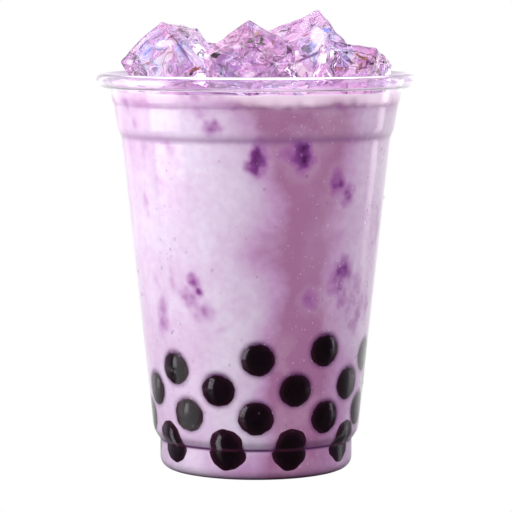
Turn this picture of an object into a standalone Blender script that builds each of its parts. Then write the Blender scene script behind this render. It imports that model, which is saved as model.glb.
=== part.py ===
"""Taro bubble tea in a clear cup, heaped with ice.

Pieces: a thin clear cup, the milk tea that fills it, a heap of tapioca pearls lying against the wall at
the bottom, and blocks of ice that stand out of the drink. The cup stands on z = 0, centred on the Z axis,
and its front faces -Y.
"""

import math
from dataclasses import dataclass

import bmesh
import bpy
from mathutils import Matrix, Vector

MM = 0.001

# Driving dimensions
SIDES = 40  # sides of every turned shape
WALL = 0.5 * MM  # thickness of the cup's wall
GAP = 0.3 * MM  # clearance between pieces that touch

# Foot of the cup
RECESS_RADIUS = 18.0 * MM
RECESS_DEPTH = 2.2 * MM
FOOT_RADIUS = 29.6 * MM
FOOT_CORNER = 3.4 * MM
FOOT_TOP = 9.0 * MM
SHOULDER_TOP = 13.4 * MM
SHOULDER_RADIUS = 31.8 * MM

# Tapering body and the two stepped bands under the rim
BODY_TOP = 102.0 * MM
BODY_TOP_RADIUS = 41.2 * MM
LOWER_BAND_BOTTOM = 104.6 * MM
LOWER_BAND_RADII = (42.4 * MM, 43.5 * MM)
LOWER_BAND_TOP = 111.9 * MM
UPPER_BAND_BOTTOM = 113.3 * MM
UPPER_BAND_RADIUS = 44.1 * MM

# Rolled rim
RIM_RADIUS = 49.0 * MM
RIM_ROLL = 2.2 * MM  # outer radius of the roll
RIM_HEIGHT = 119.4 * MM  # height of the roll's centre
RIM_CURL = math.radians(300)  # how far the wall curls round
RIM_STEPS = 10

DRINK_LEVEL = 116.2 * MM

# Tapioca pearls
PEARL_RADIUS = 5.1 * MM
PEARL_STRETCH = 1.18  # the lowest row is drawn out upwards between foot and shoulder
PEARL_SIDES = 6
PEARL_RINGS = 6
HEAP_CORE_RADIUS = 21.6 * MM
HEAP_CORE_TOP_RADIUS = 26.0 * MM
HEAP_CORE_HEIGHT = 41.0 * MM

# Each row: the angles round the axis, from the front and to the right, with the height of each pearl
SEAM_HEIGHT = 8.4
PEARLS_AT_SEAM = [(angle, SEAM_HEIGHT) for angle in (-156, -122, -90, -56, -17, 20, 59, 94, 130, 167)]
PEARLS_LOWER = [
    (-148, 19.4), (-113, 19.0), (-80, 17.6), (-39, 19.8), (0, 19.7),
    (40, 19.2), (72, 19.7), (110, 19.0), (146, 20.2), (-178, 18.8),
]
PEARLS_MIDDLE = [
    (-130, 27.8), (-97, 28.4), (-66, 26.3), (-20, 28.0), (21, 28.0),
    (56, 28.6), (88, 28.0), (126, 28.6), (162, 29.0), (-163, 28.2),
]
PEARLS_TOP = [
    (-144, 36.6), (-108, 37.2), (-46, 33.7), (1, 37.5), (37, 39.6),
    (74, 36.2), (110, 37.4), (145, 38.4), (-179, 37.0),
]


@dataclass(frozen=True)
class IceBlock:
    """One block of ice: its name, centre (mm), turn (degrees) and edge lengths (mm)."""

    name: str
    centre: tuple
    turn: tuple
    size: tuple


ICE_EDGE_RADIUS = 2.2 * MM
LARGE_ICE = 16  # mm; larger blocks have rounder edges
ICE_BLOCKS = (
    IceBlock("ice_left", (-24.3, -2.0, 122.3), (13, -46, 138), (22, 21, 20)),
    IceBlock("ice_front", (-1.4, -17.8, 121.9), (31, -32, 34), (20, 20, 20)),
    IceBlock("ice_back", (15.8, 12.0, 124.1), (-37, 129, -107), (21, 21, 20)),
    IceBlock("ice_right", (28.5, -14.0, 119.5), (80, -165, 71), (20, 19, 18)),
    IceBlock("ice_rear_left", (-12.0, 22.0, 119.0), (167, 172, 167), (21, 20, 19)),
    IceBlock("ice_low_front_left", (-22.0, -22.0, 111.0), (125, -147, 158), (15, 15, 13)),
    IceBlock("ice_low_front_right", (11.0, -31.0, 109.0), (-133, -150, 44), (14, 13, 12)),
    IceBlock("ice_low_rear", (8.0, 31.0, 113.0), (-35, 122, 64), (15, 14, 13)),
    IceBlock("ice_low_right", (32.0, 6.0, 111.0), (-130, 13, -167), (14, 14, 13)),
    IceBlock("ice_low_rear_right", (25.0, 23.0, 112.0), (-34, -28, 140), (12, 12, 11)),
    IceBlock("ice_low_middle", (2.0, 3.0, 112.0), (72, 109, 177), (15, 14, 13)),
)


def principled(name, colour, roughness, alpha=1.0, transmission=0.0):
    """Return a plain Principled material."""
    material = bpy.data.materials.new(name)
    material.use_nodes = True
    shader = material.node_tree.nodes["Principled BSDF"]
    shader.inputs["Base Color"].default_value = (*colour, 1.0)
    shader.inputs["Roughness"].default_value = roughness
    shader.inputs["Metallic"].default_value = 0.0
    shader.inputs["Alpha"].default_value = alpha
    shader.inputs["Transmission Weight"].default_value = transmission
    material.diffuse_color = (*colour, alpha)
    return material


def link(name, bm, material):
    """Write a bmesh to a new object in the scene, shaded smooth up to 35 degrees."""
    mesh = bpy.data.meshes.new(name)
    bmesh.ops.recalc_face_normals(bm, faces=bm.faces)
    bm.to_mesh(mesh)
    bm.free()
    mesh.materials.append(material)
    mesh.shade_smooth()
    mesh.set_sharp_from_angle(angle=math.radians(35))
    made = bpy.data.objects.new(name, mesh)
    bpy.context.collection.objects.link(made)
    return made


def arc(centre_r, centre_z, radius, start, end, steps):
    """Return the points of an arc in the (radius, height) plane, both ends included."""
    return [
        (
            centre_r + radius * math.cos(start + (end - start) * step / steps),
            centre_z + radius * math.sin(start + (end - start) * step / steps),
        )
        for step in range(steps + 1)
    ]


def side_profile():
    """Return the outer side of the cup's wall, from the standing ring up to the foot of the rim."""
    corner = arc(FOOT_RADIUS - FOOT_CORNER, FOOT_CORNER, FOOT_CORNER, -math.pi / 2, 0.0, 3)
    rise = SHOULDER_TOP - FOOT_TOP
    flare = SHOULDER_RADIUS - FOOT_RADIUS
    shoulder = [
        (FOOT_RADIUS, FOOT_TOP),
        (FOOT_RADIUS + 0.42 * flare, FOOT_TOP + 0.28 * rise),
        (FOOT_RADIUS + 0.82 * flare, FOOT_TOP + 0.62 * rise),
        (SHOULDER_RADIUS, SHOULDER_TOP),
    ]
    bands = [
        (BODY_TOP_RADIUS, BODY_TOP),
        (LOWER_BAND_RADII[0], LOWER_BAND_BOTTOM),
        (LOWER_BAND_RADII[1], LOWER_BAND_TOP),
        (UPPER_BAND_RADIUS, UPPER_BAND_BOTTOM),
    ]
    return corner + shoulder + bands


def offset_inwards(points, distance):
    """Return an open profile moved by a distance to its left, which is towards the axis going up."""
    moved = []
    for index, point in enumerate(points):
        before = Vector(points[max(index - 1, 0)])
        after = Vector(points[min(index + 1, len(points) - 1)])
        here = Vector(point)
        arrive = (here - before).normalized() if index else (after - here).normalized()
        leave = (after - here).normalized() if index < len(points) - 1 else arrive
        normal = Vector((-arrive.y - leave.y, arrive.x + leave.x)).normalized()
        stretch = 1.0 / max(normal.dot(Vector((-arrive.y, arrive.x))), 0.5)
        moved.append(tuple(here + normal * distance * stretch))
    return moved


def inner_radius(height):
    """Return the radius of the cup's inner wall at a height."""
    profile = offset_inwards(side_profile(), WALL)
    for (r0, z0), (r1, z1) in zip(profile, profile[1:]):
        if z0 <= height <= z1 and z1 > z0:
            return r0 + (r1 - r0) * (height - z0) / (z1 - z0)
    return profile[-1][0]


def turned(points, closed):
    """Return a bmesh of a profile turned about Z. An open profile starts and ends on the axis."""
    bm = bmesh.new()
    rings = []
    for r, z in points:
        if r < 1e-6:
            rings.append([bm.verts.new((0.0, 0.0, z))])
            continue
        angles = (2 * math.pi * side / SIDES for side in range(SIDES))
        rings.append([bm.verts.new((r * math.cos(a), r * math.sin(a), z)) for a in angles])
    pairs = list(zip(rings, rings[1:])) + ([(rings[-1], rings[0])] if closed else [])
    for low, high in pairs:
        for side in range(SIDES):
            following = (side + 1) % SIDES
            if len(low) == 1:
                bm.faces.new((low[0], high[following], high[side]))
            elif len(high) == 1:
                bm.faces.new((low[side], low[following], high[0]))
            else:
                bm.faces.new((low[side], low[following], high[following], high[side]))
    return bm


def cup_bmesh():
    """Return the cup: a thin wall that runs from the recessed base up into the rolled rim."""
    outer_side = side_profile()
    inner_side = offset_inwards(outer_side, WALL)
    roll_centre = RIM_RADIUS - RIM_ROLL
    outer_roll = arc(roll_centre, RIM_HEIGHT, RIM_ROLL, math.pi, math.pi - RIM_CURL, RIM_STEPS)
    inner_roll = arc(roll_centre, RIM_HEIGHT, RIM_ROLL - WALL, math.pi, math.pi - RIM_CURL, RIM_STEPS)
    underside = [(0.0, RECESS_DEPTH), (RECESS_RADIUS - RECESS_DEPTH, RECESS_DEPTH), (RECESS_RADIUS, 0.0)]
    floor = [
        (0.0, RECESS_DEPTH + WALL),
        (RECESS_RADIUS - RECESS_DEPTH + 0.5 * WALL, RECESS_DEPTH + WALL),
        (RECESS_RADIUS + 0.5 * WALL, WALL),
    ]
    # The curl is open below, so the wall's outer side runs into the inner side of the roll.
    outside = underside + outer_side + inner_roll
    inside = outer_roll[::-1] + inner_side[::-1] + floor[::-1]
    return turned(outside + inside, closed=False)


def drink_bmesh():
    """Return the drink before it is cut: the cup's inner shape up to the level."""
    side = [point for point in offset_inwards(side_profile(), WALL + GAP) if point[1] < DRINK_LEVEL]
    wall_growth = RIM_RADIUS - 2 * RIM_ROLL - (UPPER_BAND_RADIUS - WALL)
    growth = wall_growth / (RIM_HEIGHT - UPPER_BAND_BOTTOM)
    top_radius = side[-1][0] + growth * (DRINK_LEVEL - side[-1][1])
    floor = [
        (0.0, RECESS_DEPTH + WALL + GAP),
        (RECESS_RADIUS - RECESS_DEPTH + WALL, RECESS_DEPTH + WALL + GAP),
        (RECESS_RADIUS + WALL, WALL + GAP),
    ]
    return turned(floor + side + [(top_radius, DRINK_LEVEL), (0.0, DRINK_LEVEL)], closed=False)


def add_pearl(bm, angle, height, stretch, grow):
    """Add one pearl that lies against the wall, grown all round by a clearance."""
    z = height * MM
    reach = min(inner_radius(z - 0.5 * PEARL_RADIUS), inner_radius(z)) - GAP
    turn = math.radians(angle - 90.0)
    radius = PEARL_RADIUS + grow
    place = (
        Matrix.Translation(((reach - PEARL_RADIUS) * math.cos(turn), (reach - PEARL_RADIUS) * math.sin(turn), z))
        @ Matrix.Rotation(turn, 4, "Z")
        @ Matrix.Diagonal((radius, radius, PEARL_RADIUS * stretch + grow, 1.0))
    )
    bmesh.ops.create_uvsphere(
        bm, u_segments=PEARL_SIDES, v_segments=PEARL_RINGS, radius=1.0, matrix=place
    )


def core_bmesh(grow, bottom):
    """Return the heap's core, which every pearl sinks into, grown all round by a clearance."""
    rim = HEAP_CORE_HEIGHT - 2.5 * MM
    points = [
        (0.0, bottom),
        (HEAP_CORE_RADIUS + grow, bottom),
        (HEAP_CORE_RADIUS + 1.0 * MM + grow, 12.0 * MM),
        (HEAP_CORE_TOP_RADIUS + grow, rim),
        (0.62 * HEAP_CORE_TOP_RADIUS + grow, HEAP_CORE_HEIGHT + grow),
        (0.0, HEAP_CORE_HEIGHT + 1.0 * MM + grow),
    ]
    return turned(points, closed=False)


def fused_heap(name, material, grow, bottom):
    """Return the pearls and their core joined into one closed solid."""
    heap = link(name, core_bmesh(grow, bottom), material)
    pearls = bpy.data.collections.new(name + "_pearls")
    bpy.context.scene.collection.children.link(pearls)
    rows = (
        (PEARLS_AT_SEAM, PEARL_STRETCH),
        (PEARLS_LOWER, 1.0),
        (PEARLS_MIDDLE, 1.0),
        (PEARLS_TOP, 1.0),
    )
    for row, stretch in rows:
        for angle, height in row:
            bm = bmesh.new()
            add_pearl(bm, angle, height, stretch, grow)
            pearl = link(f"{name}_pearl", bm, material)
            bpy.context.collection.objects.unlink(pearl)
            pearls.objects.link(pearl)
    join = heap.modifiers.new("join", "BOOLEAN")
    join.operation = "UNION"
    join.operand_type = "COLLECTION"
    join.collection = pearls
    join.solver = "EXACT"
    apply_modifier(heap, join)
    for pearl in list(pearls.objects):
        bpy.data.objects.remove(pearl)
    bpy.data.collections.remove(pearls)
    return heap


def apply_modifier(made, modifier):
    """Apply one modifier to an object."""
    bpy.context.view_layer.update()
    with bpy.context.temp_override(object=made, active_object=made, selected_objects=[made]):
        bpy.ops.object.modifier_apply(modifier=modifier.name)


def ice_object(block, material, grow=0.0, name=None):
    """Return a block of ice with rounded edges, grown all round by a clearance."""
    bm = bmesh.new()
    size = [edge * MM + 2 * grow for edge in block.size]
    bmesh.ops.create_cube(bm, size=1.0, matrix=Matrix.Diagonal((*size, 1.0)))
    steps = 2 if min(block.size) > LARGE_ICE else 1
    bmesh.ops.bevel(
        bm, geom=bm.edges[:], offset=ICE_EDGE_RADIUS, segments=steps, profile=0.5, affect="EDGES"
    )
    made = link(name or block.name, bm, material)
    made.location = [value * MM for value in block.centre]
    made.rotation_euler = [math.radians(value) for value in block.turn]
    return made


def cut(target, cutter):
    """Cut one object out of another and remove the cutter."""
    modifier = target.modifiers.new("cut", "BOOLEAN")
    modifier.operation = "DIFFERENCE"
    modifier.object = cutter
    modifier.solver = "EXACT"
    apply_modifier(target, modifier)
    bpy.data.objects.remove(cutter)


def main():
    """Model the cup and all that is in it."""
    for existing in list(bpy.data.objects):
        bpy.data.objects.remove(existing)

    clear = principled("clear_plastic", (0.95, 0.93, 0.96), 0.05, alpha=0.3, transmission=1.0)
    taro = principled("taro_milk_tea", (0.62, 0.42, 0.66), 0.3)
    tapioca = principled("tapioca", (0.012, 0.004, 0.006), 0.18)
    ice = principled("ice", (0.86, 0.80, 0.92), 0.06, alpha=0.4, transmission=1.0)

    link("cup", cup_bmesh(), clear)
    drink = link("taro_milk_tea", drink_bmesh(), taro)

    floor = RECESS_DEPTH + WALL + GAP
    fused_heap("tapioca_pearls", tapioca, 0.0, floor)
    cut(drink, fused_heap("pearl_pocket", tapioca, GAP, -1.0 * MM))

    for block in ICE_BLOCKS:
        ice_object(block, ice)
        cut(drink, ice_object(block, ice, grow=GAP, name=block.name + "_pocket"))
    drink.data.shade_smooth()
    drink.data.set_sharp_from_angle(angle=math.radians(35))


main()
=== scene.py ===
"""Taro bubble tea in a clear cup, dressed for the studio.

The cup, the milk tea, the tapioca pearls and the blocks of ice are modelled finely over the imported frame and
take their finishes here. All lengths are in metres. The cup stands on z = 0 and its front faces -Y.
"""

import logging
import math
import random
from dataclasses import dataclass, field
from enum import Enum

import bpy
import numpy as np
from mathutils import Matrix, Vector, noise

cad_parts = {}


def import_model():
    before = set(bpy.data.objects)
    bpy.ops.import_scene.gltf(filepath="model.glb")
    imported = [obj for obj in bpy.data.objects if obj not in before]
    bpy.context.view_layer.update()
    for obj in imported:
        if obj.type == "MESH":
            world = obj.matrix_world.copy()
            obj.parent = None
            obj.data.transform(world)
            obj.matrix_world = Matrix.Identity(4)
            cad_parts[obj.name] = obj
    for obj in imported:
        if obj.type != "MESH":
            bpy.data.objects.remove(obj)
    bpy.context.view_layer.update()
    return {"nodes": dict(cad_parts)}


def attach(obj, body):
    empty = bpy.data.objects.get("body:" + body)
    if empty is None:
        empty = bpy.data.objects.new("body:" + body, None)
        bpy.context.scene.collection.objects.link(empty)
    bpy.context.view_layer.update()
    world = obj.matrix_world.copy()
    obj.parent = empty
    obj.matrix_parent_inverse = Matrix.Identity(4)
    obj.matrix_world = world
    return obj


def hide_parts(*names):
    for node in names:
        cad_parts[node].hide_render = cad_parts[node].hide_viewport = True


MM = 0.001
ORIGIN = (0.0, 0.0, 0.0)
BLACK = (0.0, 0.0, 0.0)
MERGE_DISTANCE = 0.01 * MM
ROUNDED_SHARE = 0.34  # largest share of a side that the rounding of a corner takes
NOISE_SEED = 1795838088  # any fixed number gives the same noise vectors in every run
LOG = logging.getLogger("taro_bubble_tea")

Colour = tuple[float, float, float]
Profile = list[tuple[float, float]]
Steps = tuple[tuple[float, float], ...]
Socket = bpy.types.NodeSocket


class Axis(Enum):
    """World axes that a shape is turned about or looked along."""

    Y = (0.0, 1.0, 0.0)
    Z = (0.0, 0.0, 1.0)


class Tone(Enum):
    """Colours of what is frozen into the ice; PALE is painted light, the glints on the ice and the highlights
    in its bubbles.
    """

    # painted light: glints on the ice and highlights in its bubbles
    PALE = (1.0, 0.97, 1.0)
    COOL = (0.22, 0.33, 0.80)
    NAVY = (0.04, 0.03, 0.30)
    WARM = (0.30, 0.13, 0.10)
    GOLD = (0.34, 0.21, 0.10)
    OLIVE = (0.10, 0.10, 0.07)
    VIOLET = (0.22, 0.05, 0.30)
    PLUM = (0.10, 0.015, 0.07)
    DARK = (0.010, 0.002, 0.004)


class Slot(Enum):
    """Material slots of the record."""

    PLASTIC = "clear_plastic"
    TEA = "taro_milk_tea"
    TAPIOCA = "tapioca"
    ICE = "ice"


# Modelling by hand


def deselect_all() -> None:
    """Leave edit mode and deselect every object."""
    if bpy.context.object is not None and bpy.context.object.mode != "OBJECT":
        bpy.ops.object.mode_set(mode="OBJECT")
    bpy.ops.object.select_all(action="DESELECT")


def choose(*objects: bpy.types.Object) -> None:
    """Select the given objects only and make the first one active.

    Args:
        objects: The objects to select.
    """
    deselect_all()
    for item in objects:
        item.select_set(True)
    bpy.context.view_layer.objects.active = objects[0]


def edit_all() -> None:
    """Enter edit mode on the active object with everything in it selected."""
    bpy.ops.object.mode_set(mode="EDIT")
    bpy.ops.mesh.select_all(action="SELECT")


def apply_modifiers(piece: bpy.types.Object) -> None:
    """Apply every modifier of a piece, top to bottom.

    Args:
        piece: The piece that carries them.
    """
    choose(piece)
    for modifier in list(piece.modifiers):
        bpy.ops.object.modifier_apply(modifier=modifier.name)


def settle(piece: bpy.types.Object) -> None:
    """Move a piece's place, turn and size into its mesh."""
    choose(piece)
    bpy.ops.object.transform_apply(location=True, rotation=True, scale=True)


def shade(piece: bpy.types.Object, degrees: float) -> None:
    """Shade a piece smooth up to an angle between faces."""
    choose(piece)
    bpy.ops.object.shade_smooth_by_angle(angle=math.radians(degrees))


def spun(name: str, profile: Profile, sides: int) -> bpy.types.Object:
    """Draw a profile point by point and spin it about the Z axis.

    Args:
        name: Name of the new object.
        profile: Radius and height of each point, from the axis round to the axis again.
        sides: Number of steps in the full turn.

    Returns:
        The closed turned solid, with its normals pointing out.
    """
    deselect_all()
    bpy.ops.mesh.primitive_plane_add(size=MM, location=ORIGIN)
    piece = bpy.context.object
    piece.name = name
    edit_all()
    bpy.ops.mesh.merge(type="CENTER")
    bpy.ops.transform.translate(value=(profile[0][0], 0.0, profile[0][1]))
    for (r0, z0), (r1, z1) in zip(profile, profile[1:]):
        bpy.ops.mesh.extrude_region_move(TRANSFORM_OT_translate={"value": (r1 - r0, 0.0, z1 - z0)})
    bpy.ops.mesh.select_all(action="SELECT")
    bpy.ops.mesh.spin(steps=sides, angle=math.tau, center=ORIGIN, axis=Axis.Z.value, dupli=False)
    bpy.ops.mesh.select_all(action="SELECT")
    bpy.ops.mesh.remove_doubles(threshold=MERGE_DISTANCE)
    bpy.ops.mesh.normals_make_consistent(inside=False)
    bpy.ops.object.mode_set(mode="OBJECT")
    return piece


def copied(pattern: bpy.types.Object) -> bpy.types.Object:
    """Copy a modelled piece, with a mesh of its own.

    Args:
        pattern: The piece to copy.

    Returns:
        The copy, in the scene.
    """
    copy = pattern.copy()
    copy.data = pattern.data.copy()
    bpy.context.collection.objects.link(copy)
    return copy


def joined(name: str, pieces: list[bpy.types.Object]) -> bpy.types.Object:
    """Join several pieces into one mesh and give it a name.

    Args:
        name: Name of the result.
        pieces: The pieces to join.

    Returns:
        The joined piece.
    """
    choose(*pieces)
    bpy.ops.object.join()
    pieces[0].name = name
    return pieces[0]


def coordinates(piece: bpy.types.Object) -> np.ndarray:
    """Read where a piece's vertices are.

    Args:
        piece: The piece.

    Returns:
        The vertices' positions, one row each.
    """
    values = np.empty(len(piece.data.vertices) * 3)
    piece.data.vertices.foreach_get("co", values)
    return values.reshape(-1, 3)


def write_coordinates(piece: bpy.types.Object, places: np.ndarray) -> None:
    """Write a piece's vertex positions back."""
    piece.data.vertices.foreach_set("co", places.astype(np.float32).ravel())
    piece.data.update()


def write_mask(piece: bpy.types.Object, name: str, values: np.ndarray) -> None:
    """Store one number for each vertex under a name that a material reads."""
    layer = piece.data.attributes.new(name, "FLOAT", "POINT")
    layer.data.foreach_set("value", np.clip(values, 0.0, 1.0).astype(np.float32))


def write_vectors(piece: bpy.types.Object, name: str, values: np.ndarray) -> None:
    """Store one vector for each vertex under a name that a material reads."""
    layer = piece.data.attributes.new(name, "FLOAT_VECTOR", "POINT")
    layer.data.foreach_set("vector", values.astype(np.float32).ravel())


def dress(piece: bpy.types.Object, material: bpy.types.Material) -> None:
    """Give a piece one material."""
    piece.data.materials.clear()
    piece.data.materials.append(material)


def arc(centre: tuple[float, float], radius: float, start: float, end: float, steps: int) -> Profile:
    """Lay points along an arc in the plane of radius and height.

    Args:
        centre: Radius and height of the arc's centre.
        radius: The arc's own radius.
        start: Angle of its first point, in radians.
        end: Angle of its last point, in radians.
        steps: Number of steps between them.

    Returns:
        The points, both ends included.
    """
    turns = [start + (end - start) / steps * step for step in range(steps + 1)]
    return [(centre[0] + radius * math.cos(turn), centre[1] + radius * math.sin(turn)) for turn in turns]


def soften(points: Profile, reach: float, steps: int) -> Profile:
    """Round the inner corners of a profile.

    Args:
        points: The profile's corners.
        reach: How far from a corner its rounding starts, at most a third of the shorter side.
        steps: Number of steps in each rounding.

    Returns:
        The rounded profile.
    """
    result = [points[0]]
    for before, here, after in zip(points, points[1:], points[2:]):
        a, b, c = Vector(before), Vector(here), Vector(after)
        short = min((a - b).length, (c - b).length) * ROUNDED_SHARE
        start = b + (a - b).normalized() * min(reach, short)
        end = b + (c - b).normalized() * min(reach, short)
        for step in range(steps + 1):
            t = step / steps
            result.append(tuple(start * (1 - t) ** 2 + b * 2 * t * (1 - t) + end * t**2))
    result.append(points[-1])
    return result


def offset_inwards(points: Profile, distance: float) -> Profile:
    """Move a profile that runs upwards towards the axis.

    Args:
        points: The profile.
        distance: How far it moves.

    Returns:
        The moved profile.
    """
    moved = []
    for index, point in enumerate(points):
        before = Vector(points[max(index - 1, 0)])
        after = Vector(points[min(index + 1, len(points) - 1)])
        along = (after - before).normalized()
        moved.append((point[0] - along.y * distance, point[1] + along.x * distance))
    return moved


def with_spacing(points: Profile, spacing: float) -> Profile:
    """Add points to a profile, so that none lie further apart than a spacing.

    Args:
        points: The profile.
        spacing: The largest distance between two points.

    Returns:
        The profile with its extra points.
    """
    result = [points[0]]
    for before, after in zip(points, points[1:]):
        a, b = Vector(before), Vector(after)
        count = max(1, math.ceil((b - a).length / spacing))
        result += [tuple(a.lerp(b, step / count)) for step in range(1, count + 1)]
    return result


def steps_at(steps: Steps, values: np.ndarray) -> np.ndarray:
    """Return what a line through given points says at each value."""
    given, result = np.array(steps).T
    return np.interp(values, given, result)


def oval(across: np.ndarray, up: np.ndarray, half: tuple[float, float], lean: float) -> np.ndarray:
    """Measure how far places lie from the middle of a leaning oval.

    Args:
        across: Each place's distance to the right of the middle.
        up: Each place's distance above the middle.
        half: Half the oval's width and half its height.
        lean: Degrees that its top leans to the right.

    Returns:
        The square of each distance, which is 1 on the oval's edge.
    """
    turn = math.radians(lean)
    u = (across * math.cos(turn) - up * math.sin(turn)) / half[0]
    v = (across * math.sin(turn) + up * math.cos(turn)) / half[1]
    return u**2 + v**2


@dataclass(frozen=True)
class Line:
    """A soft level line round the cup: its height, half its breadth and its strength."""

    height: float
    breadth: float
    strength: float

    def at(self, heights: np.ndarray) -> np.ndarray:
        """Return the line's strength at each height."""
        return self.strength * np.exp(-(((heights - self.height) / self.breadth) ** 2))


@dataclass(frozen=True)
class Fade:
    """Something strong at one place that fades out over a reach."""

    strength: float
    reach: float
    power: float = 1.0

    def at(self, distances: np.ndarray) -> np.ndarray:
        """Return the strength at each distance."""
        return self.strength * np.clip(1.0 - distances / self.reach, 0.0, 1.0) ** self.power


# Finishes


def new_group(
    name: str, **inputs: float
) -> tuple[bpy.types.NodeTree, bpy.types.Node, bpy.types.Node]:
    """Start a shader node group that puts out a mask.

    Args:
        name: Name of the group.
        inputs: Name and usual value of each input.

    Returns:
        The group, its node for what is given and its node for what is put out.
    """
    group = bpy.data.node_groups.new(name, "ShaderNodeTree")
    for socket, value in inputs.items():
        made = group.interface.new_socket(socket, in_out="INPUT", socket_type="NodeSocketFloat")
        made.default_value = value
    group.interface.new_socket("Mask", in_out="OUTPUT", socket_type="NodeSocketFloat")
    return group, group.nodes.new("NodeGroupInput"), group.nodes.new("NodeGroupOutput")


def calculation(tree: bpy.types.NodeTree, operation: str) -> bpy.types.Node:
    """Add a node that calculates with numbers.

    Args:
        tree: The node tree.
        operation: What the node does.

    Returns:
        The node.
    """
    made = tree.nodes.new("ShaderNodeMath")
    made.operation = operation
    return made


def stretching(tree: bpy.types.NodeTree, smooth: bool = False, falling: bool = False) -> bpy.types.Node:
    """Add a node that stretches a range of numbers to 0 to 1.

    Args:
        tree: The node tree.
        smooth: Whether the ends are eased.
        falling: Whether the result runs from 1 down to 0.

    Returns:
        The node.
    """
    made = tree.nodes.new("ShaderNodeMapRange")
    if smooth:
        made.interpolation_type = "SMOOTHSTEP"
    if falling:
        made.inputs["To Min"].default_value = 1.0
        made.inputs["To Max"].default_value = 0.0
    return made


def colour_band(tree: bpy.types.NodeTree, stops: list[tuple[float, Colour]]) -> bpy.types.Node:
    """Add a colour ramp.

    Args:
        tree: The node tree.
        stops: Place and colour of each stop.

    Returns:
        The ramp's node.
    """
    made = tree.nodes.new("ShaderNodeValToRGB")
    elements = made.color_ramp.elements
    while len(elements) < len(stops):
        elements.new(1.0)
    for element, (position, colour) in zip(elements, stops):
        element.position = position
        element.color = (*colour, 1.0)
    return made


def uneven_pattern() -> bpy.types.NodeTree:
    """Make the shared group that gives a soft uneven mask on a piece's own coordinates.

    Returns:
        The group, made once. Its inputs are Scale, Detail, From and To, its output is Mask.
    """
    name = "uneven_pattern"
    if name in bpy.data.node_groups:
        return bpy.data.node_groups[name]
    group, given, put_out = new_group(name, Scale=60.0, Detail=2.0, From=0.3, To=0.7)
    place = group.nodes.new("ShaderNodeTexCoord")
    cloud = group.nodes.new("ShaderNodeTexNoise")
    stretch = stretching(group, smooth=True)
    link = group.links.new
    link(place.outputs["Object"], cloud.inputs["Vector"])
    link(given.outputs["Scale"], cloud.inputs["Scale"])
    link(given.outputs["Detail"], cloud.inputs["Detail"])
    link(cloud.outputs["Fac"], stretch.inputs["Value"])
    link(given.outputs["From"], stretch.inputs["From Min"])
    link(given.outputs["To"], stretch.inputs["From Max"])
    link(stretch.outputs["Result"], put_out.inputs["Mask"])
    return group


def scattered_specks() -> bpy.types.NodeTree:
    """Make the shared group that gives a mask of small round specks, scattered unevenly.

    Returns:
        The group, made once. Its inputs are Scale, Size and Share, its output is Mask.
    """
    name = "scattered_specks"
    if name in bpy.data.node_groups:
        return bpy.data.node_groups[name]
    group, given, put_out = new_group(name, Scale=400.0, Size=0.2, Share=0.3)
    place = group.nodes.new("ShaderNodeTexCoord")
    cells = group.nodes.new("ShaderNodeTexVoronoi")
    split = group.nodes.new("ShaderNodeSeparateColor")
    chosen = calculation(group, "LESS_THAN")
    spread = calculation(group, "MULTIPLY")
    round_off = stretching(group, falling=True)
    both = calculation(group, "MULTIPLY")
    link = group.links.new
    link(place.outputs["Object"], cells.inputs["Vector"])
    link(given.outputs["Scale"], cells.inputs["Scale"])
    link(cells.outputs["Color"], split.inputs["Color"])
    link(split.outputs["Red"], chosen.inputs[0])
    link(given.outputs["Share"], chosen.inputs[1])
    link(split.outputs["Green"], spread.inputs[0])
    link(given.outputs["Size"], spread.inputs[1])
    link(cells.outputs["Distance"], round_off.inputs["Value"])
    link(spread.outputs[0], round_off.inputs["From Max"])
    link(round_off.outputs["Result"], both.inputs[0])
    link(chosen.outputs[0], both.inputs[1])
    link(both.outputs[0], put_out.inputs["Mask"])
    return group


def wandering_veins() -> bpy.types.NodeTree:
    """Make the shared group that gives a mask of thin lines that wander through a piece.

    Returns:
        The group, made once. Its inputs are Scale, Detail and Width, its output is Mask.
    """
    name = "wandering_veins"
    if name in bpy.data.node_groups:
        return bpy.data.node_groups[name]
    group, given, put_out = new_group(name, Scale=120.0, Detail=1.0, Width=0.02)
    place = group.nodes.new("ShaderNodeTexCoord")
    cloud = group.nodes.new("ShaderNodeTexNoise")
    away = calculation(group, "SUBTRACT")
    away.inputs[1].default_value = 0.5
    fold = calculation(group, "ABSOLUTE")
    narrow = stretching(group, smooth=True, falling=True)
    link = group.links.new
    link(place.outputs["Object"], cloud.inputs["Vector"])
    link(given.outputs["Scale"], cloud.inputs["Scale"])
    link(given.outputs["Detail"], cloud.inputs["Detail"])
    link(cloud.outputs["Fac"], away.inputs[0])
    link(away.outputs[0], fold.inputs[0])
    link(fold.outputs[0], narrow.inputs["Value"])
    link(given.outputs["Width"], narrow.inputs["From Max"])
    link(narrow.outputs["Result"], put_out.inputs["Mask"])
    return group


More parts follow.
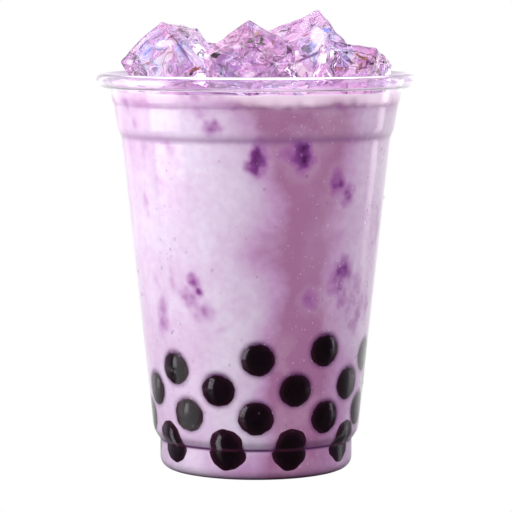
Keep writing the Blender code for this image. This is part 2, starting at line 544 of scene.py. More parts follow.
class Shader:
    """A material with one Principled shader, and short ways to add nodes to it."""

    def __init__(self, name: str) -> None:
        """Make the material and keep its nodes at hand.

        Args:
            name: Name of the material.
        """
        self.material = bpy.data.materials.new(name)
        self.material.use_nodes = True
        self.tree = self.material.node_tree
        self.principled = self.tree.nodes["Principled BSDF"]
        self.output = self.tree.nodes["Material Output"]

    def node(self, kind: str, **values: object) -> bpy.types.Node:
        """Add a node and set its properties.

        Args:
            kind: The node's type.
            values: Its properties by name.

        Returns:
            The node.
        """
        made = self.tree.nodes.new(kind)
        for name, value in values.items():
            setattr(made, name, value)
        return made

    def wire(self, source: Socket, target: Socket) -> None:
        """Link an output to an input."""
        self.tree.links.new(source, target)

    def feed(self, **sources: Socket) -> None:
        """Link outputs to the shader's own sockets; underscores stand for spaces in their names."""
        for name, source in sources.items():
            self.wire(source, self.principled.inputs[name.replace("_", " ")])

    def set(self, **values: object) -> None:
        """Set the shader's own sockets; underscores stand for spaces in their names."""
        for name, value in values.items():
            self.principled.inputs[name.replace("_", " ")].default_value = value

    def mask(self, name: str) -> Socket:
        """Return the number that each vertex stores under a name."""
        return self.node("ShaderNodeAttribute", attribute_name=name).outputs["Fac"]

    def shared(self, group: bpy.types.NodeTree, **values: float) -> Socket:
        """Place a shared group.

        Args:
            group: The group.
            values: Its inputs by name.

        Returns:
            The group's mask, from 0 to 1.
        """
        made = self.node("ShaderNodeGroup", node_tree=group)
        for name, value in values.items():
            made.inputs[name].default_value = value
        return made.outputs["Mask"]

    def pattern(
        self, scale: float, detail: float = 2.0, start: float = 0.3, end: float = 0.7
    ) -> Socket:
        """Add the uneven pattern, with scale in patches to the metre, full from end on."""
        return self.shared(uneven_pattern(), Scale=scale, Detail=detail, From=start, To=end)

    def specks(self, scale: float, size: float, share: float) -> Socket:
        """Add specks in a share of the cells, with size as the largest share of a cell."""
        return self.shared(scattered_specks(), Scale=scale, Size=size, Share=share)

    def veins(self, scale: float, detail: float, width: float) -> Socket:
        """Add veins, with scale in bends to the metre and width in steps of the noise."""
        return self.shared(wandering_veins(), Scale=scale, Detail=detail, Width=width)

    def between(
        self, value: Socket, low: float, high: float, start: float = 0.0, end: float = 1.0
    ) -> Socket:
        """Stretch a number to another range.

        Args:
            value: The number.
            low: Result where the number is at the start or below.
            high: Result where the number is at the end or above.
            start: Lower end of the number's own range.
            end: Upper end of the number's own range.

        Returns:
            The stretched number.
        """
        made = self.node("ShaderNodeMapRange")
        for name, bound in (("From Min", start), ("From Max", end), ("To Min", low), ("To Max", high)):
            made.inputs[name].default_value = bound
        self.wire(value, made.inputs["Value"])
        return made.outputs["Result"]

    def times(self, value: Socket, factor: float | Socket) -> Socket:
        """Multiply a number by another.

        Args:
            value: The first number.
            factor: The second, plain or a socket.

        Returns:
            The product.
        """
        made = self.node("ShaderNodeMath", operation="MULTIPLY")
        self.wire(value, made.inputs[0])
        if isinstance(factor, float):
            made.inputs[1].default_value = factor
        else:
            self.wire(factor, made.inputs[1])
        return made.outputs[0]

    def sum(self, first: Socket, second: Socket) -> Socket:
        """Add two numbers.

        Args:
            first: The first number.
            second: The second number.

        Returns:
            Their sum, kept from 0 to 1.
        """
        made = self.node("ShaderNodeMath", operation="ADD", use_clamp=True)
        self.wire(first, made.inputs[0])
        self.wire(second, made.inputs[1])
        return made.outputs[0]

    def bumps(self, height: Socket, strength: float, distance: float) -> None:
        """Let a height mask bend the shader's normal.

        Args:
            height: The height mask.
            strength: How strongly it bends the normal.
            distance: Height of a full mask.
        """
        bump = self.node("ShaderNodeBump")
        bump.inputs["Strength"].default_value = strength
        bump.inputs["Distance"].default_value = distance
        self.wire(height, bump.inputs["Height"])
        self.feed(Normal=bump.outputs["Normal"])

    def ramp(self, source: Socket, stops: list[tuple[float, Colour]]) -> Socket:
        """Add a colour ramp that reads a number.

        Args:
            source: The number.
            stops: Place and colour of each stop.

        Returns:
            The ramp's colour.
        """
        made = colour_band(self.tree, stops)
        self.wire(source, made.inputs["Fac"])
        return made.outputs["Color"]

    def mix(
        self, factor: float | Socket, first: Colour | Socket, second: Colour | Socket, blend: str = "MIX"
    ) -> Socket:
        """Mix two colours by a factor.

        Args:
            factor: Share of the second colour, plain or a socket.
            first: The first colour, plain or a socket.
            second: The second colour, plain or a socket.
            blend: How the second colour goes over the first.

        Returns:
            The mixed colour.
        """
        made = self.node("ShaderNodeMix", data_type="RGBA", blend_type=blend)
        if isinstance(factor, float):
            made.inputs["Factor"].default_value = factor
        else:
            self.wire(factor, made.inputs["Factor"])
        for name, value in (("A", first), ("B", second)):
            socket = next(s for s in made.inputs if s.name == name and s.type == "RGBA")
            if isinstance(value, tuple):
                socket.default_value = (*value, 1.0)
            else:
                self.wire(value, socket)
        return next(s for s in made.outputs if s.type == "RGBA")

    def lets_lamps_through(self, tint: Colour, thin: bool = False) -> None:
        """Let light pass straight through to what lies behind.

        Args:
            tint: What is left of the light.
            thin: Whether light thrown back by what lies behind passes straight out as well.
        """
        path = self.node("ShaderNodeLightPath")
        passes = path.outputs["Is Shadow Ray"]
        if thin:
            either = self.node("ShaderNodeMath", operation="MAXIMUM")
            self.wire(passes, either.inputs[0])
            self.wire(path.outputs["Is Reflection Ray"], either.inputs[1])
            passes = either.outputs[0]
        clear = self.node("ShaderNodeBsdfTransparent")
        clear.inputs["Color"].default_value = (*tint, 1.0)
        both = self.node("ShaderNodeMixShader")
        self.wire(passes, both.inputs[0])
        self.wire(self.principled.outputs[0], both.inputs[1])
        self.wire(clear.outputs[0], both.inputs[2])
        self.wire(both.outputs[0], self.output.inputs["Surface"])


@dataclass(frozen=True)
class ClearPlastic:
    """Thin clear plastic with a faint waviness from its forming, and painted light on the rolled rim: a paler
    colour and a faint glow.
    """

    ior: float = 1.5
    roughness: float = 0.03
    colour: Colour = (0.89, 0.78, 0.93)
    # painted light on the rolled rim: its paler colour and its glow
    rim: Colour = (0.96, 0.89, 0.98)
    rim_painted_glow: float = 0.12
    left_of_light: Colour = (0.97, 0.96, 0.98)

    def material(self) -> bpy.types.Material:
        """Make the finish.

        Returns:
            The finish as a material.
        """
        shader = Shader("clear_plastic")
        # painted light: the rolled rim is paler and glows faintly, unevenly
        painted_rim_glow_mask = shader.times(shader.mask("rim"), shader.pattern(scale=60.0, start=0.3, end=0.7))
        shader.feed(
            Base_Color=shader.mix(shader.mask("rim"), self.colour, self.rim),
            Emission_Color=shader.mix(painted_rim_glow_mask, BLACK, self.rim),
        )
        shader.set(
            Roughness=self.roughness,
            IOR=self.ior,
            Transmission_Weight=1.0,
            Metallic=0.0,
            Emission_Strength=self.rim_painted_glow,
        )
        shader.bumps(shader.pattern(scale=45.0, detail=1.0), strength=0.04, distance=2.0 * MM)
        shader.lets_lamps_through(self.left_of_light, thin=True)
        return shader.material


@dataclass(frozen=True)
class TaroMilk:
    """Milky lilac drink with a richer side that is partly painted shade, clumps of taro, fine bubbles, a pale
    foam line with a painted glow, and painted shade round the pearls, at the foot and under the ledges.
    """

    pale: Colour = (0.90, 0.845, 0.93)
    lilac: Colour = (0.70, 0.44, 0.68)
    rose: Colour = (0.50, 0.23, 0.40)
    soft_clump: Colour = (0.54, 0.22, 0.53)
    clump: Colour = (0.27, 0.07, 0.30)
    dark_clump: Colour = (0.06, 0.004, 0.05)
    foam: Colour = (0.96, 0.82, 0.89)
    # painted shade under the cup's ledges and along its seam
    ledge_shade: Colour = (0.36, 0.15, 0.38)
    shadow: Colour = (0.10, 0.020, 0.11)
    # painted light: the foam glows faintly
    foam_painted_glow: float = 0.26

    def body(self, shader: Shader) -> Socket:
        """Add the drink's colour, from pale lilac to rose, with fainter clouds and wisps; the rose side is
        partly painted shade.

        Args:
            shader: The material's nodes.

        Returns:
            The colour.
        """
        clouds = shader.times(shader.pattern(scale=60.0, detail=5.0), 0.20)
        grain = shader.times(shader.pattern(scale=420.0, detail=4.0, start=0.35, end=0.65), 0.10)
        # darker rose on the right, away from the key light, is partly painted shade
        richness_and_shade = shader.sum(shader.sum(clouds, grain), shader.mask("rich_and_shaded"))
        colour = shader.ramp(richness_and_shade, [(0.0, self.pale), (0.55, self.lilac), (1.0, self.rose)])
        broken = shader.pattern(scale=45.0, detail=2.0, start=0.42, end=0.62)
        wisps = shader.times(shader.veins(scale=55.0, detail=4.0, width=0.09), broken)
        return shader.mix(shader.times(wisps, 0.16), colour, self.foam)

    def clumped(self, shader: Shader, colour: Socket) -> Socket:
        """Add the clumps, with frayed edges, over a colour.

        Args:
            shader: The material's nodes.
            colour: The colour below.

        Returns:
            The colour with the clumps.
        """
        uneven = shader.pattern(scale=240.0, detail=2.0, start=0.25, end=0.75)
        frayed = shader.times(shader.mask("clump"), shader.between(uneven, low=0.7, high=1.25))
        stops = [(0.0, self.pale), (0.28, self.soft_clump), (0.62, self.clump), (1.0, self.dark_clump)]
        cover = shader.between(frayed, low=0.0, high=1.0, start=0.03, end=0.58)
        return shader.mix(cover, colour, shader.ramp(frayed, stops))

    def material(self) -> bpy.types.Material:
        """Make the finish.

        Returns:
            The finish as a material.
        """
        shader = Shader("taro_milk_tea")
        colour = self.clumped(shader, self.body(shader))
        # painted shade under the ledges and along the seam
        colour = shader.mix(shader.mask("ledge_shade"), colour, self.ledge_shade)
        fine = shader.pattern(scale=900.0, detail=2.0, start=0.12, end=0.42)
        colour = shader.mix(shader.times(shader.mask("shadow"), fine), colour, self.shadow)
        colour = shader.mix(shader.mask("foam"), colour, self.foam)
        specks = shader.specks(scale=850.0, size=0.36, share=0.55)
        colour = shader.mix(shader.times(specks, shader.mask("bubbles")), colour, self.foam)
        # painted glow of the foam
        glow = shader.mix(shader.mask("foam"), BLACK, self.foam)
        shader.feed(Base_Color=colour, Emission_Color=glow)
        shader.set(Emission_Strength=self.foam_painted_glow, Roughness=0.42, IOR=1.34, Specular_IOR_Level=0.25)
        return shader.material


@dataclass(frozen=True)
class ClearWater:
    """Clear water, a touch milky in places."""

    clear: Colour = (0.97, 0.95, 0.99)
    milky: Colour = (0.86, 0.76, 0.90)
    left_of_light: Colour = (0.96, 0.95, 0.97)

    def material(self) -> bpy.types.Material:
        """Make the finish.

        Returns:
            The finish as a material.
        """
        shader = Shader("water")
        shader.feed(Base_Color=shader.mix(shader.pattern(scale=350.0), self.clear, self.milky))
        shader.set(Roughness=0.03, IOR=1.33, Transmission_Weight=1.0, Metallic=0.0)
        shader.lets_lamps_through(self.left_of_light, thin=True)
        return shader.material


@dataclass(frozen=True)
class WetTapioca:
    """Near-black glossy pearl, with painted light at its edge and along the cup's seam: faintly maroon there.
    """

    colour: Colour = (0.0024, 0.0006, 0.0014)
    paler: float = 2.4
    # painted light at a pearl's edge and along the seam
    edge: Colour = (0.05, 0.010, 0.026)

    def material(self) -> bpy.types.Material:
        """Make the finish.

        Returns:
            The finish as a material.
        """
        shader = Shader("tapioca")
        paler = tuple(self.paler * part for part in self.colour)
        mottled = shader.mix(shader.pattern(scale=260.0), self.colour, paler)
        dome = shader.node("ShaderNodeAttribute", attribute_name="dome")
        shader.feed(
            # painted light at the edge and along the seam, from the rim mask
            Base_Color=shader.mix(shader.mask("rim"), mottled, self.edge),
            Normal=dome.outputs["Vector"],
        )
        shader.set(Roughness=0.15, IOR=1.42, Specular_IOR_Level=0.42)
        return shader.material


@dataclass(frozen=True)
class LilacIce:
    """Clear wet ice, lilac to pink, with painted shade in plum along its edges, and painted light: glowing
    cracks and glints.
    """

    lilac: Colour = (0.84, 0.70, 0.90)
    pink: Colour = (0.86, 0.60, 0.79)
    blue: Colour = (0.66, 0.74, 0.96)
    plum: Colour = (0.08, 0.015, 0.10)
    glint: Colour = (0.98, 0.93, 1.0)
    left_of_light: Colour = (0.93, 0.86, 0.95)
    violet_share: float = 0.6
    glint_glow: float = 0.5
    ior: float = 1.31
    clearness: float = 0.95

    def tinted(self, shader: Shader) -> Socket:
        """Add the ice's colour, with its cool patches, painted plum shade along the edges, and seams.

        Args:
            shader: The material's nodes.

        Returns:
            The colour.
        """
        drift = shader.pattern(scale=70.0, detail=2.0, start=0.40, end=0.62)
        colour = shader.mix(drift, self.lilac, self.pink)
        cool = shader.sum(shader.pattern(scale=95.0, detail=1.0, start=0.58, end=0.68), shader.mask("cool"))
        colour = shader.mix(cool, colour, self.blue)
        broken = shader.pattern(scale=190.0, detail=3.0, start=0.36, end=0.56)
        # painted shade in plum along the block's edges
        colour = shader.mix(shader.times(shader.mask("edge"), broken), colour, self.plum)
        parts = shader.pattern(scale=120.0, detail=1.0, start=0.40, end=0.58)
        seams = shader.times(shader.veins(scale=85.0, detail=2.0, width=0.014), parts)
        dark = shader.sum(seams, shader.times(shader.mask("violet"), self.violet_share))
        return shader.mix(dark, colour, self.plum)

    def material(self) -> bpy.types.Material:
        """Make the finish.

        Returns:
            The finish as a material.
        """
        shader = Shader("ice")
        # painted light: glowing threads in the cracks and the painted glints
        parts = shader.pattern(scale=90.0, detail=1.0, start=0.5, end=0.62)
        threads = shader.times(shader.veins(scale=140.0, detail=2.0, width=0.014), parts)
        lit = shader.sum(threads, shader.mask("pale"))
        shader.feed(Base_Color=self.tinted(shader), Emission_Color=shader.mix(lit, BLACK, self.glint))
        shader.set(
            Roughness=0.02,
            IOR=self.ior,
            Transmission_Weight=self.clearness,
            Metallic=0.0,
            Emission_Strength=self.glint_glow,
        )
        waves = shader.pattern(scale=110.0, detail=1.0, start=0.2, end=0.8)
        shader.bumps(waves, strength=0.42, distance=1.0 * MM)
        shader.lets_lamps_through(self.left_of_light)
        return shader.material


@dataclass(frozen=True)
class FrozenFlakes:
    """Flakes and bubbles frozen into the ice, each in its own tone, ragged and part see-through; the pale ones
    are painted highlights in the bubbles.
    """

    paler: float = 1.7

    def material(self) -> bpy.types.Material:
        """Make the finish.

        Returns:
            The finish as a material.
        """
        shader = Shader("frozen_flakes")
        tone = shader.node("ShaderNodeAttribute", attribute_name="tone").outputs["Color"]
        paler = shader.mix(1.0, tone, (self.paler, self.paler, self.paler), blend="MULTIPLY")
        mottles = shader.pattern(scale=700.0, detail=3.0, start=0.45, end=0.7)
        edges = shader.pattern(scale=1100.0, detail=3.0, start=0.25, end=0.5)
        ragged = shader.between(edges, low=0.25, high=1.0)
        shader.feed(
            Base_Color=shader.mix(mottles, tone, paler),
            Alpha=shader.times(ragged, shader.mask("body")),
        )
        shader.set(Roughness=0.35, IOR=1.4, Metallic=0.0)
        return shader.material


# The cup


@dataclass
class Cup:
    """The clear cup: a thin wall with a recessed base, two stepped bands and a rolled rim."""

    wall: float = 0.5 * MM
    recess_radius: float = 18.0 * MM
    recess_depth: float = 2.2 * MM
    foot_radius: float = 29.6 * MM
    foot_corner: float = 3.4 * MM
    foot_top: float = 9.0 * MM
    shoulder_top: float = 13.4 * MM
    shoulder_radius: float = 31.8 * MM
    body_top: float = 102.0 * MM
    body_top_radius: float = 41.2 * MM
    lower_band: tuple[float, float] = (104.6 * MM, 111.9 * MM)
    lower_band_radii: tuple[float, float] = (42.4 * MM, 43.5 * MM)
    upper_band_bottom: float = 113.3 * MM
    upper_band_radius: float = 44.1 * MM
    rim_radius: float = 49.0 * MM
    rim_roll: float = 2.2 * MM
    rim_height: float = 119.4 * MM
    rim_curl: float = math.radians(300)
    sides: int = 192
    shoulder_bends: Steps = ((0.42, 0.28), (0.82, 0.62))  # shares of the flare and of the rise
    side_rounding: float = 1.2 * MM
    base_rounding: float = 0.8 * MM
    floor_inset: float = 0.4  # as a share of the wall
    corner_steps: int = 10
    curl_steps: int = 40
    finish: ClearPlastic = field(default_factory=ClearPlastic)

    def side(self) -> Profile:
        """Draw the outer side of the wall.

        Returns:
            Its profile, from the standing ring to the foot of the rim.
        """
        middle = (self.foot_radius - self.foot_corner, self.foot_corner)
        corner = arc(middle, self.foot_corner, -math.pi / 2, 0.0, self.corner_steps)
        rise = self.shoulder_top - self.foot_top
        flare = self.shoulder_radius - self.foot_radius
        upper = [
            corner[-1],
            (self.foot_radius, self.foot_top),
            *((self.foot_radius + out * flare, self.foot_top + up * rise) for out, up in self.shoulder_bends),
            (self.shoulder_radius, self.shoulder_top),
            (self.body_top_radius, self.body_top),
            (self.lower_band_radii[0], self.lower_band[0]),
            (self.lower_band_radii[1], self.lower_band[1]),
            (self.upper_band_radius, self.upper_band_bottom),
            (self.rim_radius - 2 * self.rim_roll + self.wall, self.rim_height),
        ]
        return corner[:-1] + soften(upper, self.side_rounding, 4)

    def inner_side(self, inwards: float = 0.0) -> Profile:
        """Return the inner side of the wall, or a line a little further in or out."""
        return offset_inwards(self.side(), self.wall + inwards)

    def inner_radius(self, heights: np.ndarray) -> np.ndarray:
        """Return the inner radius at each height."""
        radii, levels = np.array(self.inner_side()).T
        return np.interp(heights, levels, radii)

    def profile(self) -> Profile:
        """Draw the whole section of the wall.

        Returns:
            Its profile, from the axis below to the axis above.
        """
        centre = (self.rim_radius - self.rim_roll, self.rim_height)
        end = math.pi - self.rim_curl
        under = [
            (0.0, self.recess_depth),
            (self.recess_radius - self.recess_depth, self.recess_depth),
            (self.recess_radius, 0.0),
            (self.foot_radius - self.foot_corner, 0.0),
        ]
        floor = [(r + self.floor_inset * self.wall, z + self.wall) for r, z in under[1:3]]
        outside = soften(under, self.base_rounding, 3)[:-1] + self.side()[:-1]
        curl_inside = arc(centre, self.rim_roll - self.wall, math.pi, end, self.curl_steps)
        curl_outside = arc(centre, self.rim_roll, end, math.pi, self.curl_steps)
        inside = self.inner_side()[:-1][::-1]
        corners = [inside[-1], floor[1], floor[0], (0.0, self.recess_depth + self.wall)]
        return outside + curl_inside + curl_outside + inside[:-1] + soften(corners, self.base_rounding, 3)

    def build(self) -> bpy.types.Object:
        """Model the cup and dress it.

        Returns:
            The cup.
        """
        shell = spun("cup_shell", self.profile(), self.sides)
        shade(shell, 60.0)
        places = coordinates(shell)
        # mask for the painted light on the rolled rim
        outwards = np.hypot(places[:, 0], places[:, 1]) - (self.rim_radius - 2 * self.rim_roll)
        write_mask(shell, "rim", outwards / self.rim_roll)
        dress(shell, self.finish.material())
        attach(shell, "root")
        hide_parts("cup")
        return shell


@dataclass
class Dew:
    """Fine beads of water on the outside of the cup."""

    cup: Cup
    count: int = 460
    smallest: float = 0.14 * MM
    largest: float = 0.52 * MM
    fineness: int = 3  # how strongly the small beads outnumber the large ones
    thickness: float = 0.5  # how far a bead stands out, as a share of its radius
    stretch: tuple[float, float] = (0.9, 1.5)  # least and most height, as a share of the breadth
    heights: tuple[float, float] = (16.0 * MM, 101.0 * MM)
    dense_columns: tuple[tuple[float, float], ...] = ((-50.0, -36.0), (57.0, 74.0))
    dense_share: float = 0.4
    seed: int = 5
    finish: ClearWater = field(default_factory=ClearWater)

    def pattern(self) -> bpy.types.Object:
        """Model the one bead that the others are copied from.

        Returns:
            The bead, of radius 1 and pointing along X.
        """
        deselect_all()
        bpy.ops.mesh.primitive_ico_sphere_add(subdivisions=2, radius=1.0)
        bead = bpy.context.object
        edit_all()
        bpy.ops.transform.resize(value=(self.thickness, 1.0, 1.0), center_override=ORIGIN)
        bpy.ops.object.mode_set(mode="OBJECT")
        return bead

    def angle(self, draw: random.Random) -> float:
        """Draw an angle, often in one of the columns where the beads lie densely.

        Args:
            draw: Source of the angle.

        Returns:
            Degrees from the front, to the right.
        """
        if draw.random() < self.dense_share:
            return draw.uniform(*draw.choice(self.dense_columns))
        return draw.uniform(-180.0, 180.0)

    def bead(self, pattern: bpy.types.Object, draw: random.Random) -> bpy.types.Object:
        """Copy the pattern bead to a place on the cup.

        Args:
            pattern: The modelled bead, at the origin.
            draw: Source of its place and size.

        Returns:
            The placed bead.
        """
        radii, levels = np.array(self.cup.side()).T
        turn = math.radians(self.angle(draw) - 90.0)
        height = draw.uniform(*self.heights)
        reach = float(np.interp(height, levels, radii))
        size = self.smallest + (self.largest - self.smallest) * draw.random() ** self.fineness
        bead = copied(pattern)
        bead.data.transform(
            Matrix.Translation((reach * math.cos(turn), reach * math.sin(turn), height))
            @ Matrix.Rotation(turn, 4, "Z")
            @ Matrix.Diagonal((size, size, size * draw.uniform(*self.stretch), 1.0))
        )
        return bead

    def build(self) -> bpy.types.Object:
        """Model the beads and dress them.

        Returns:
            All the beads as one piece.
        """
        draw = random.Random(self.seed)
        pattern = self.pattern()
        beads = [self.bead(pattern, draw) for _ in range(self.count)]
        bpy.data.objects.remove(pattern)
        dew = joined("dew", beads)
        shade(dew, 80.0)
        dress(dew, self.finish.material())
        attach(dew, "root")
        return dew


# The pearls

PEARL_MIDDLES = (  # each row's pearls, from the lowest: degrees from the front, height in mm
    (
        (-156, 9.8), (-122, 9.9), (-90, 10.1), (-56, 10.3), (-17, 9.6),
        (20, 9.6), (59, 10.3), (94, 10.0), (130, 9.8), (167, 9.9),
    ),
    (
        (-148, 19.4), (-113, 19.0), (-80, 17.6), (-39, 19.8), (0, 19.7),
        (40, 19.2), (72, 19.7), (110, 19.0), (146, 20.2), (-178, 18.8),
    ),
    (
        (-130, 27.8), (-97, 28.4), (-66, 26.3), (-20, 28.0), (21, 28.0),
        (56, 28.6), (88, 28.0), (126, 28.6), (162, 29.0), (-163, 28.2),
    ),
    (
        (-144, 36.6), (-108, 37.2), (-46, 33.7), (1, 37.5), (37, 39.6),
        (74, 36.2), (110, 37.4), (145, 38.4), (-179, 37.0),
    ),
)


@dataclass(frozen=True)
class Stand:
    """Where a pearl stands: its middle, its distance from the axis, and the ways out and aside."""

    middle: np.ndarray
    reach: float
    turn: float
    out: np.ndarray
    aside: np.ndarray


@dataclass
class TapiocaPearls:
    """The pearls, each flattened where it presses against the wall."""

    cup: Cup
    radius: float = 5.6 * MM
    depth: float = 2.5 * MM  # how far behind the wall a pearl's middle lies
    unevenness: tuple[float, float] = (0.95, 1.03)
    edge_waves: Steps = ((5.0, 0.016), (-11.0, -0.012))  # number round a pearl and strength
    seam_stretch: float = 1.28
    seam_reach: float = 1.5 * MM
    seam_lines: tuple[Line, ...] = (Line(1.0 * MM, 0.6 * MM, -0.15), Line(-1.4 * MM, 1.8 * MM, 0.11))
    # painted seam line on the pearls, where the cup's seam corner bends the light
    painted_seam_line: Line = Line(0.4 * MM, 0.4 * MM, 1.5)
    bulge: float = 0.8  # how far the shading turns away towards a pearl's edge
    shown_share: float = 1.02
    shown_depth: float = 0.4 * MM
    into_wall: float = 0.16 * MM
    core_radius: float = 21.6 * MM
    core_top_radius: float = 26.0 * MM
    core_height: float = 41.0 * MM
    core_dome: float = 2.5 * MM  # how far the core's top rounds down to its edge
    core_gap: float = 0.3 * MM
    core_sides: int = 48
    seed: int = 3
    finish: WetTapioca = field(default_factory=WetTapioca)

    def stand(self, angle: float, height: float) -> Stand:
        """Find where a pearl stands against the wall.

        Args:
            angle: Degrees from the front, to the right.
            height: Height of its middle, in millimetres.

        Returns:
            The pearl's stand.
        """
        turn = math.radians(angle - 90.0)
        reach = float(self.cup.inner_radius(np.array([height * MM]))[0]) - self.depth
        out = np.array([math.cos(turn), math.sin(turn), 0.0])
        aside = np.array([-math.sin(turn), math.cos(turn), 0.0])
        middle = np.array([reach * out[0], reach * out[1], height * MM])
        return Stand(middle=middle, reach=reach, turn=turn, out=out, aside=aside)

    def edged(self, away: np.ndarray, stand: Stand, shift: float) -> np.ndarray:
        """Make a pearl's outline slightly wavy.

        Args:
            away: Where the vertices lie from the pearl's middle.
            stand: The pearl's stand.
            shift: How far the waves are shifted round it.

        Returns:
            Where the vertices lie now.
        """
        round_it = np.arctan2(away[:, 2], away @ stand.aside)
        edge = np.ones(len(away))
        for number, strength in self.edge_waves:
            edge = edge + strength * np.sin(number * round_it + shift)
        return away * edge[:, None]

    def seen_from_outside(self, away: np.ndarray, stand: Stand, tall: float) -> tuple[np.ndarray, np.ndarray]:
        """Work out how a pearl looks through the wall that flattens it.

        Args:
            away: Where the vertices lie from the pearl's middle.
            stand: The pearl's stand.
            tall: How much taller than wide the pearl is.

        Returns:
            The way that each vertex faces, as on a dome, and how near it lies to the pearl's edge.
        """
        shown = math.sqrt(self.radius**2 - self.depth**2) * self.shown_share
        u = away @ stand.aside / shown
        v = away[:, 2] / (shown * tall)
        across = self.bulge * (u[:, None] * stand.aside + v[:, None] * np.array(Axis.Z.value))
        ahead = np.sqrt(np.clip(1.0 - self.bulge**2 * (u**2 + v**2), 0.05, 1.0))
        return across + ahead[:, None] * stand.out, (1.0 - np.clip(1.0 - u**2 - v**2, 0.0, 1.0)) ** 3

    def follow_seam(self, places: np.ndarray, away: np.ndarray, stand: Stand) -> None:
        """Lean a pearl of the lowest row out over the seam and draw in its waist there.

        Args:
            places: Where the vertices are; changed in place.
            away: Where they lie from the pearl's middle.
            stand: The pearl's stand.
        """
        lean = self.cup.inner_radius(places[:, 2]) - self.depth - stand.reach
        places[:, :2] += lean[:, None] * stand.out[:2]
        waist = sum(line.at(places[:, 2] - self.cup.foot_top) for line in self.seam_lines)
        places += ((away @ stand.aside) * waist)[:, None] * stand.aside

    def pearl(
        self, pattern: bpy.types.Object, stand: Stand, seam: bool, draw: random.Random
    ) -> bpy.types.Object:
        """Copy the pattern pearl to its place against the wall.

        Args:
            pattern: The modelled pearl, at the origin.
            stand: Where it stands.
            seam: Whether it is one of the lowest row, drawn out between foot and shoulder.
            draw: Source of its slight unevenness.

        Returns:
            The placed pearl.
        """
        copy = copied(pattern)
        tall = self.seam_stretch if seam else 1.0
        copy.data.transform(
            Matrix.Translation(stand.middle)
            @ Matrix.Rotation(stand.turn, 4, "Z")
            @ Matrix.Diagonal((*(draw.uniform(*self.unevenness) for _ in range(3)), 1.0))
        )
        places = coordinates(copy)
        drawn_out = (tall - 1.0) * self.radius
        places[:, 2] += drawn_out * np.clip((places[:, 2] - stand.middle[2]) / self.seam_reach, -1.0, 1.0)
        away = self.edged(places - stand.middle, stand, draw.uniform(0.0, 6.0))
        places = stand.middle + away
        dome, edge = self.seen_from_outside(away, stand, tall)
        if seam:
            self.follow_seam(places, away, stand)
        radii = np.hypot(places[:, 0], places[:, 1])
        limit = self.cup.inner_radius(places[:, 2]) + self.into_wall
        seen = radii > limit - self.shown_depth
        dome = np.where(seen[:, None], dome, away / np.linalg.norm(away, axis=1)[:, None])
        dome /= np.linalg.norm(dome, axis=1)[:, None]
        places[:, :2] *= (np.minimum(radii, limit) / radii)[:, None]
        write_coordinates(copy, places)
        write_vectors(copy, "dome", dome)
        # painted light at the pearl's edge and along the seam
        painted_seam_line = self.painted_seam_line.at(places[:, 2] - self.cup.foot_top)
        write_mask(copy, "rim", np.where(seen, np.maximum(edge, painted_seam_line), 0.0))
        return copy

    def pattern(self) -> bpy.types.Object:
        """Model the one pearl that the others are copied from.

        Returns:
            The pearl, at the origin, with its poles along X.
        """
        deselect_all()
        bpy.ops.mesh.primitive_uv_sphere_add(segments=56, ring_count=44, radius=self.radius)
        pearl = bpy.context.object
        edit_all()
        bpy.ops.transform.rotate(value=math.pi / 2, orient_axis="Y", center_override=ORIGIN)
        bpy.ops.object.mode_set(mode="OBJECT")
        return pearl

    def core(self) -> bpy.types.Object:
        """Model the middle of the heap.

        Returns:
            The core, which stands on the cup's floor.
        """
        bottom = self.cup.recess_depth + self.cup.wall + self.core_gap
        corners = [
            (0.0, bottom),
            (self.core_radius, bottom),
            (self.core_radius + MM, 12.0 * MM),
            (self.core_top_radius, self.core_height - self.core_dome),
            (0.62 * self.core_top_radius, self.core_height),
            (0.0, self.core_height + MM),
        ]
        core = spun("pearl_core", corners, self.core_sides)
        write_vectors(core, "dome", np.tile(Axis.Z.value, (len(core.data.vertices), 1)))
        return core

    def build(self) -> bpy.types.Object:
        """Model the heap and dress it.

        Returns:
            The heap as one piece.
        """
        draw = random.Random(self.seed)
        pattern = self.pattern()
        placed = [
            self.pearl(pattern, self.stand(angle, height), index == 0, draw)
            for index, row in enumerate(PEARL_MIDDLES)
            for angle, height in row
        ]
        bpy.data.objects.remove(pattern)
        heap = joined("pearl_heap", [self.core(), *placed])
        shade(heap, 60.0)
        dress(heap, self.finish.material())
        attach(heap, "root")
        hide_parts("tapioca_pearls")
        return heap


# The drink


@dataclass(frozen=True)
class Clump:
    """A dark clump of taro that shows at the wall."""

    angle: float  # degrees from the front, to the right
    height: float  # mm above the base
    width: float  # mm
    tall: float  # mm
    strength: float
    lean: float = 0.0  # degrees, top to the right


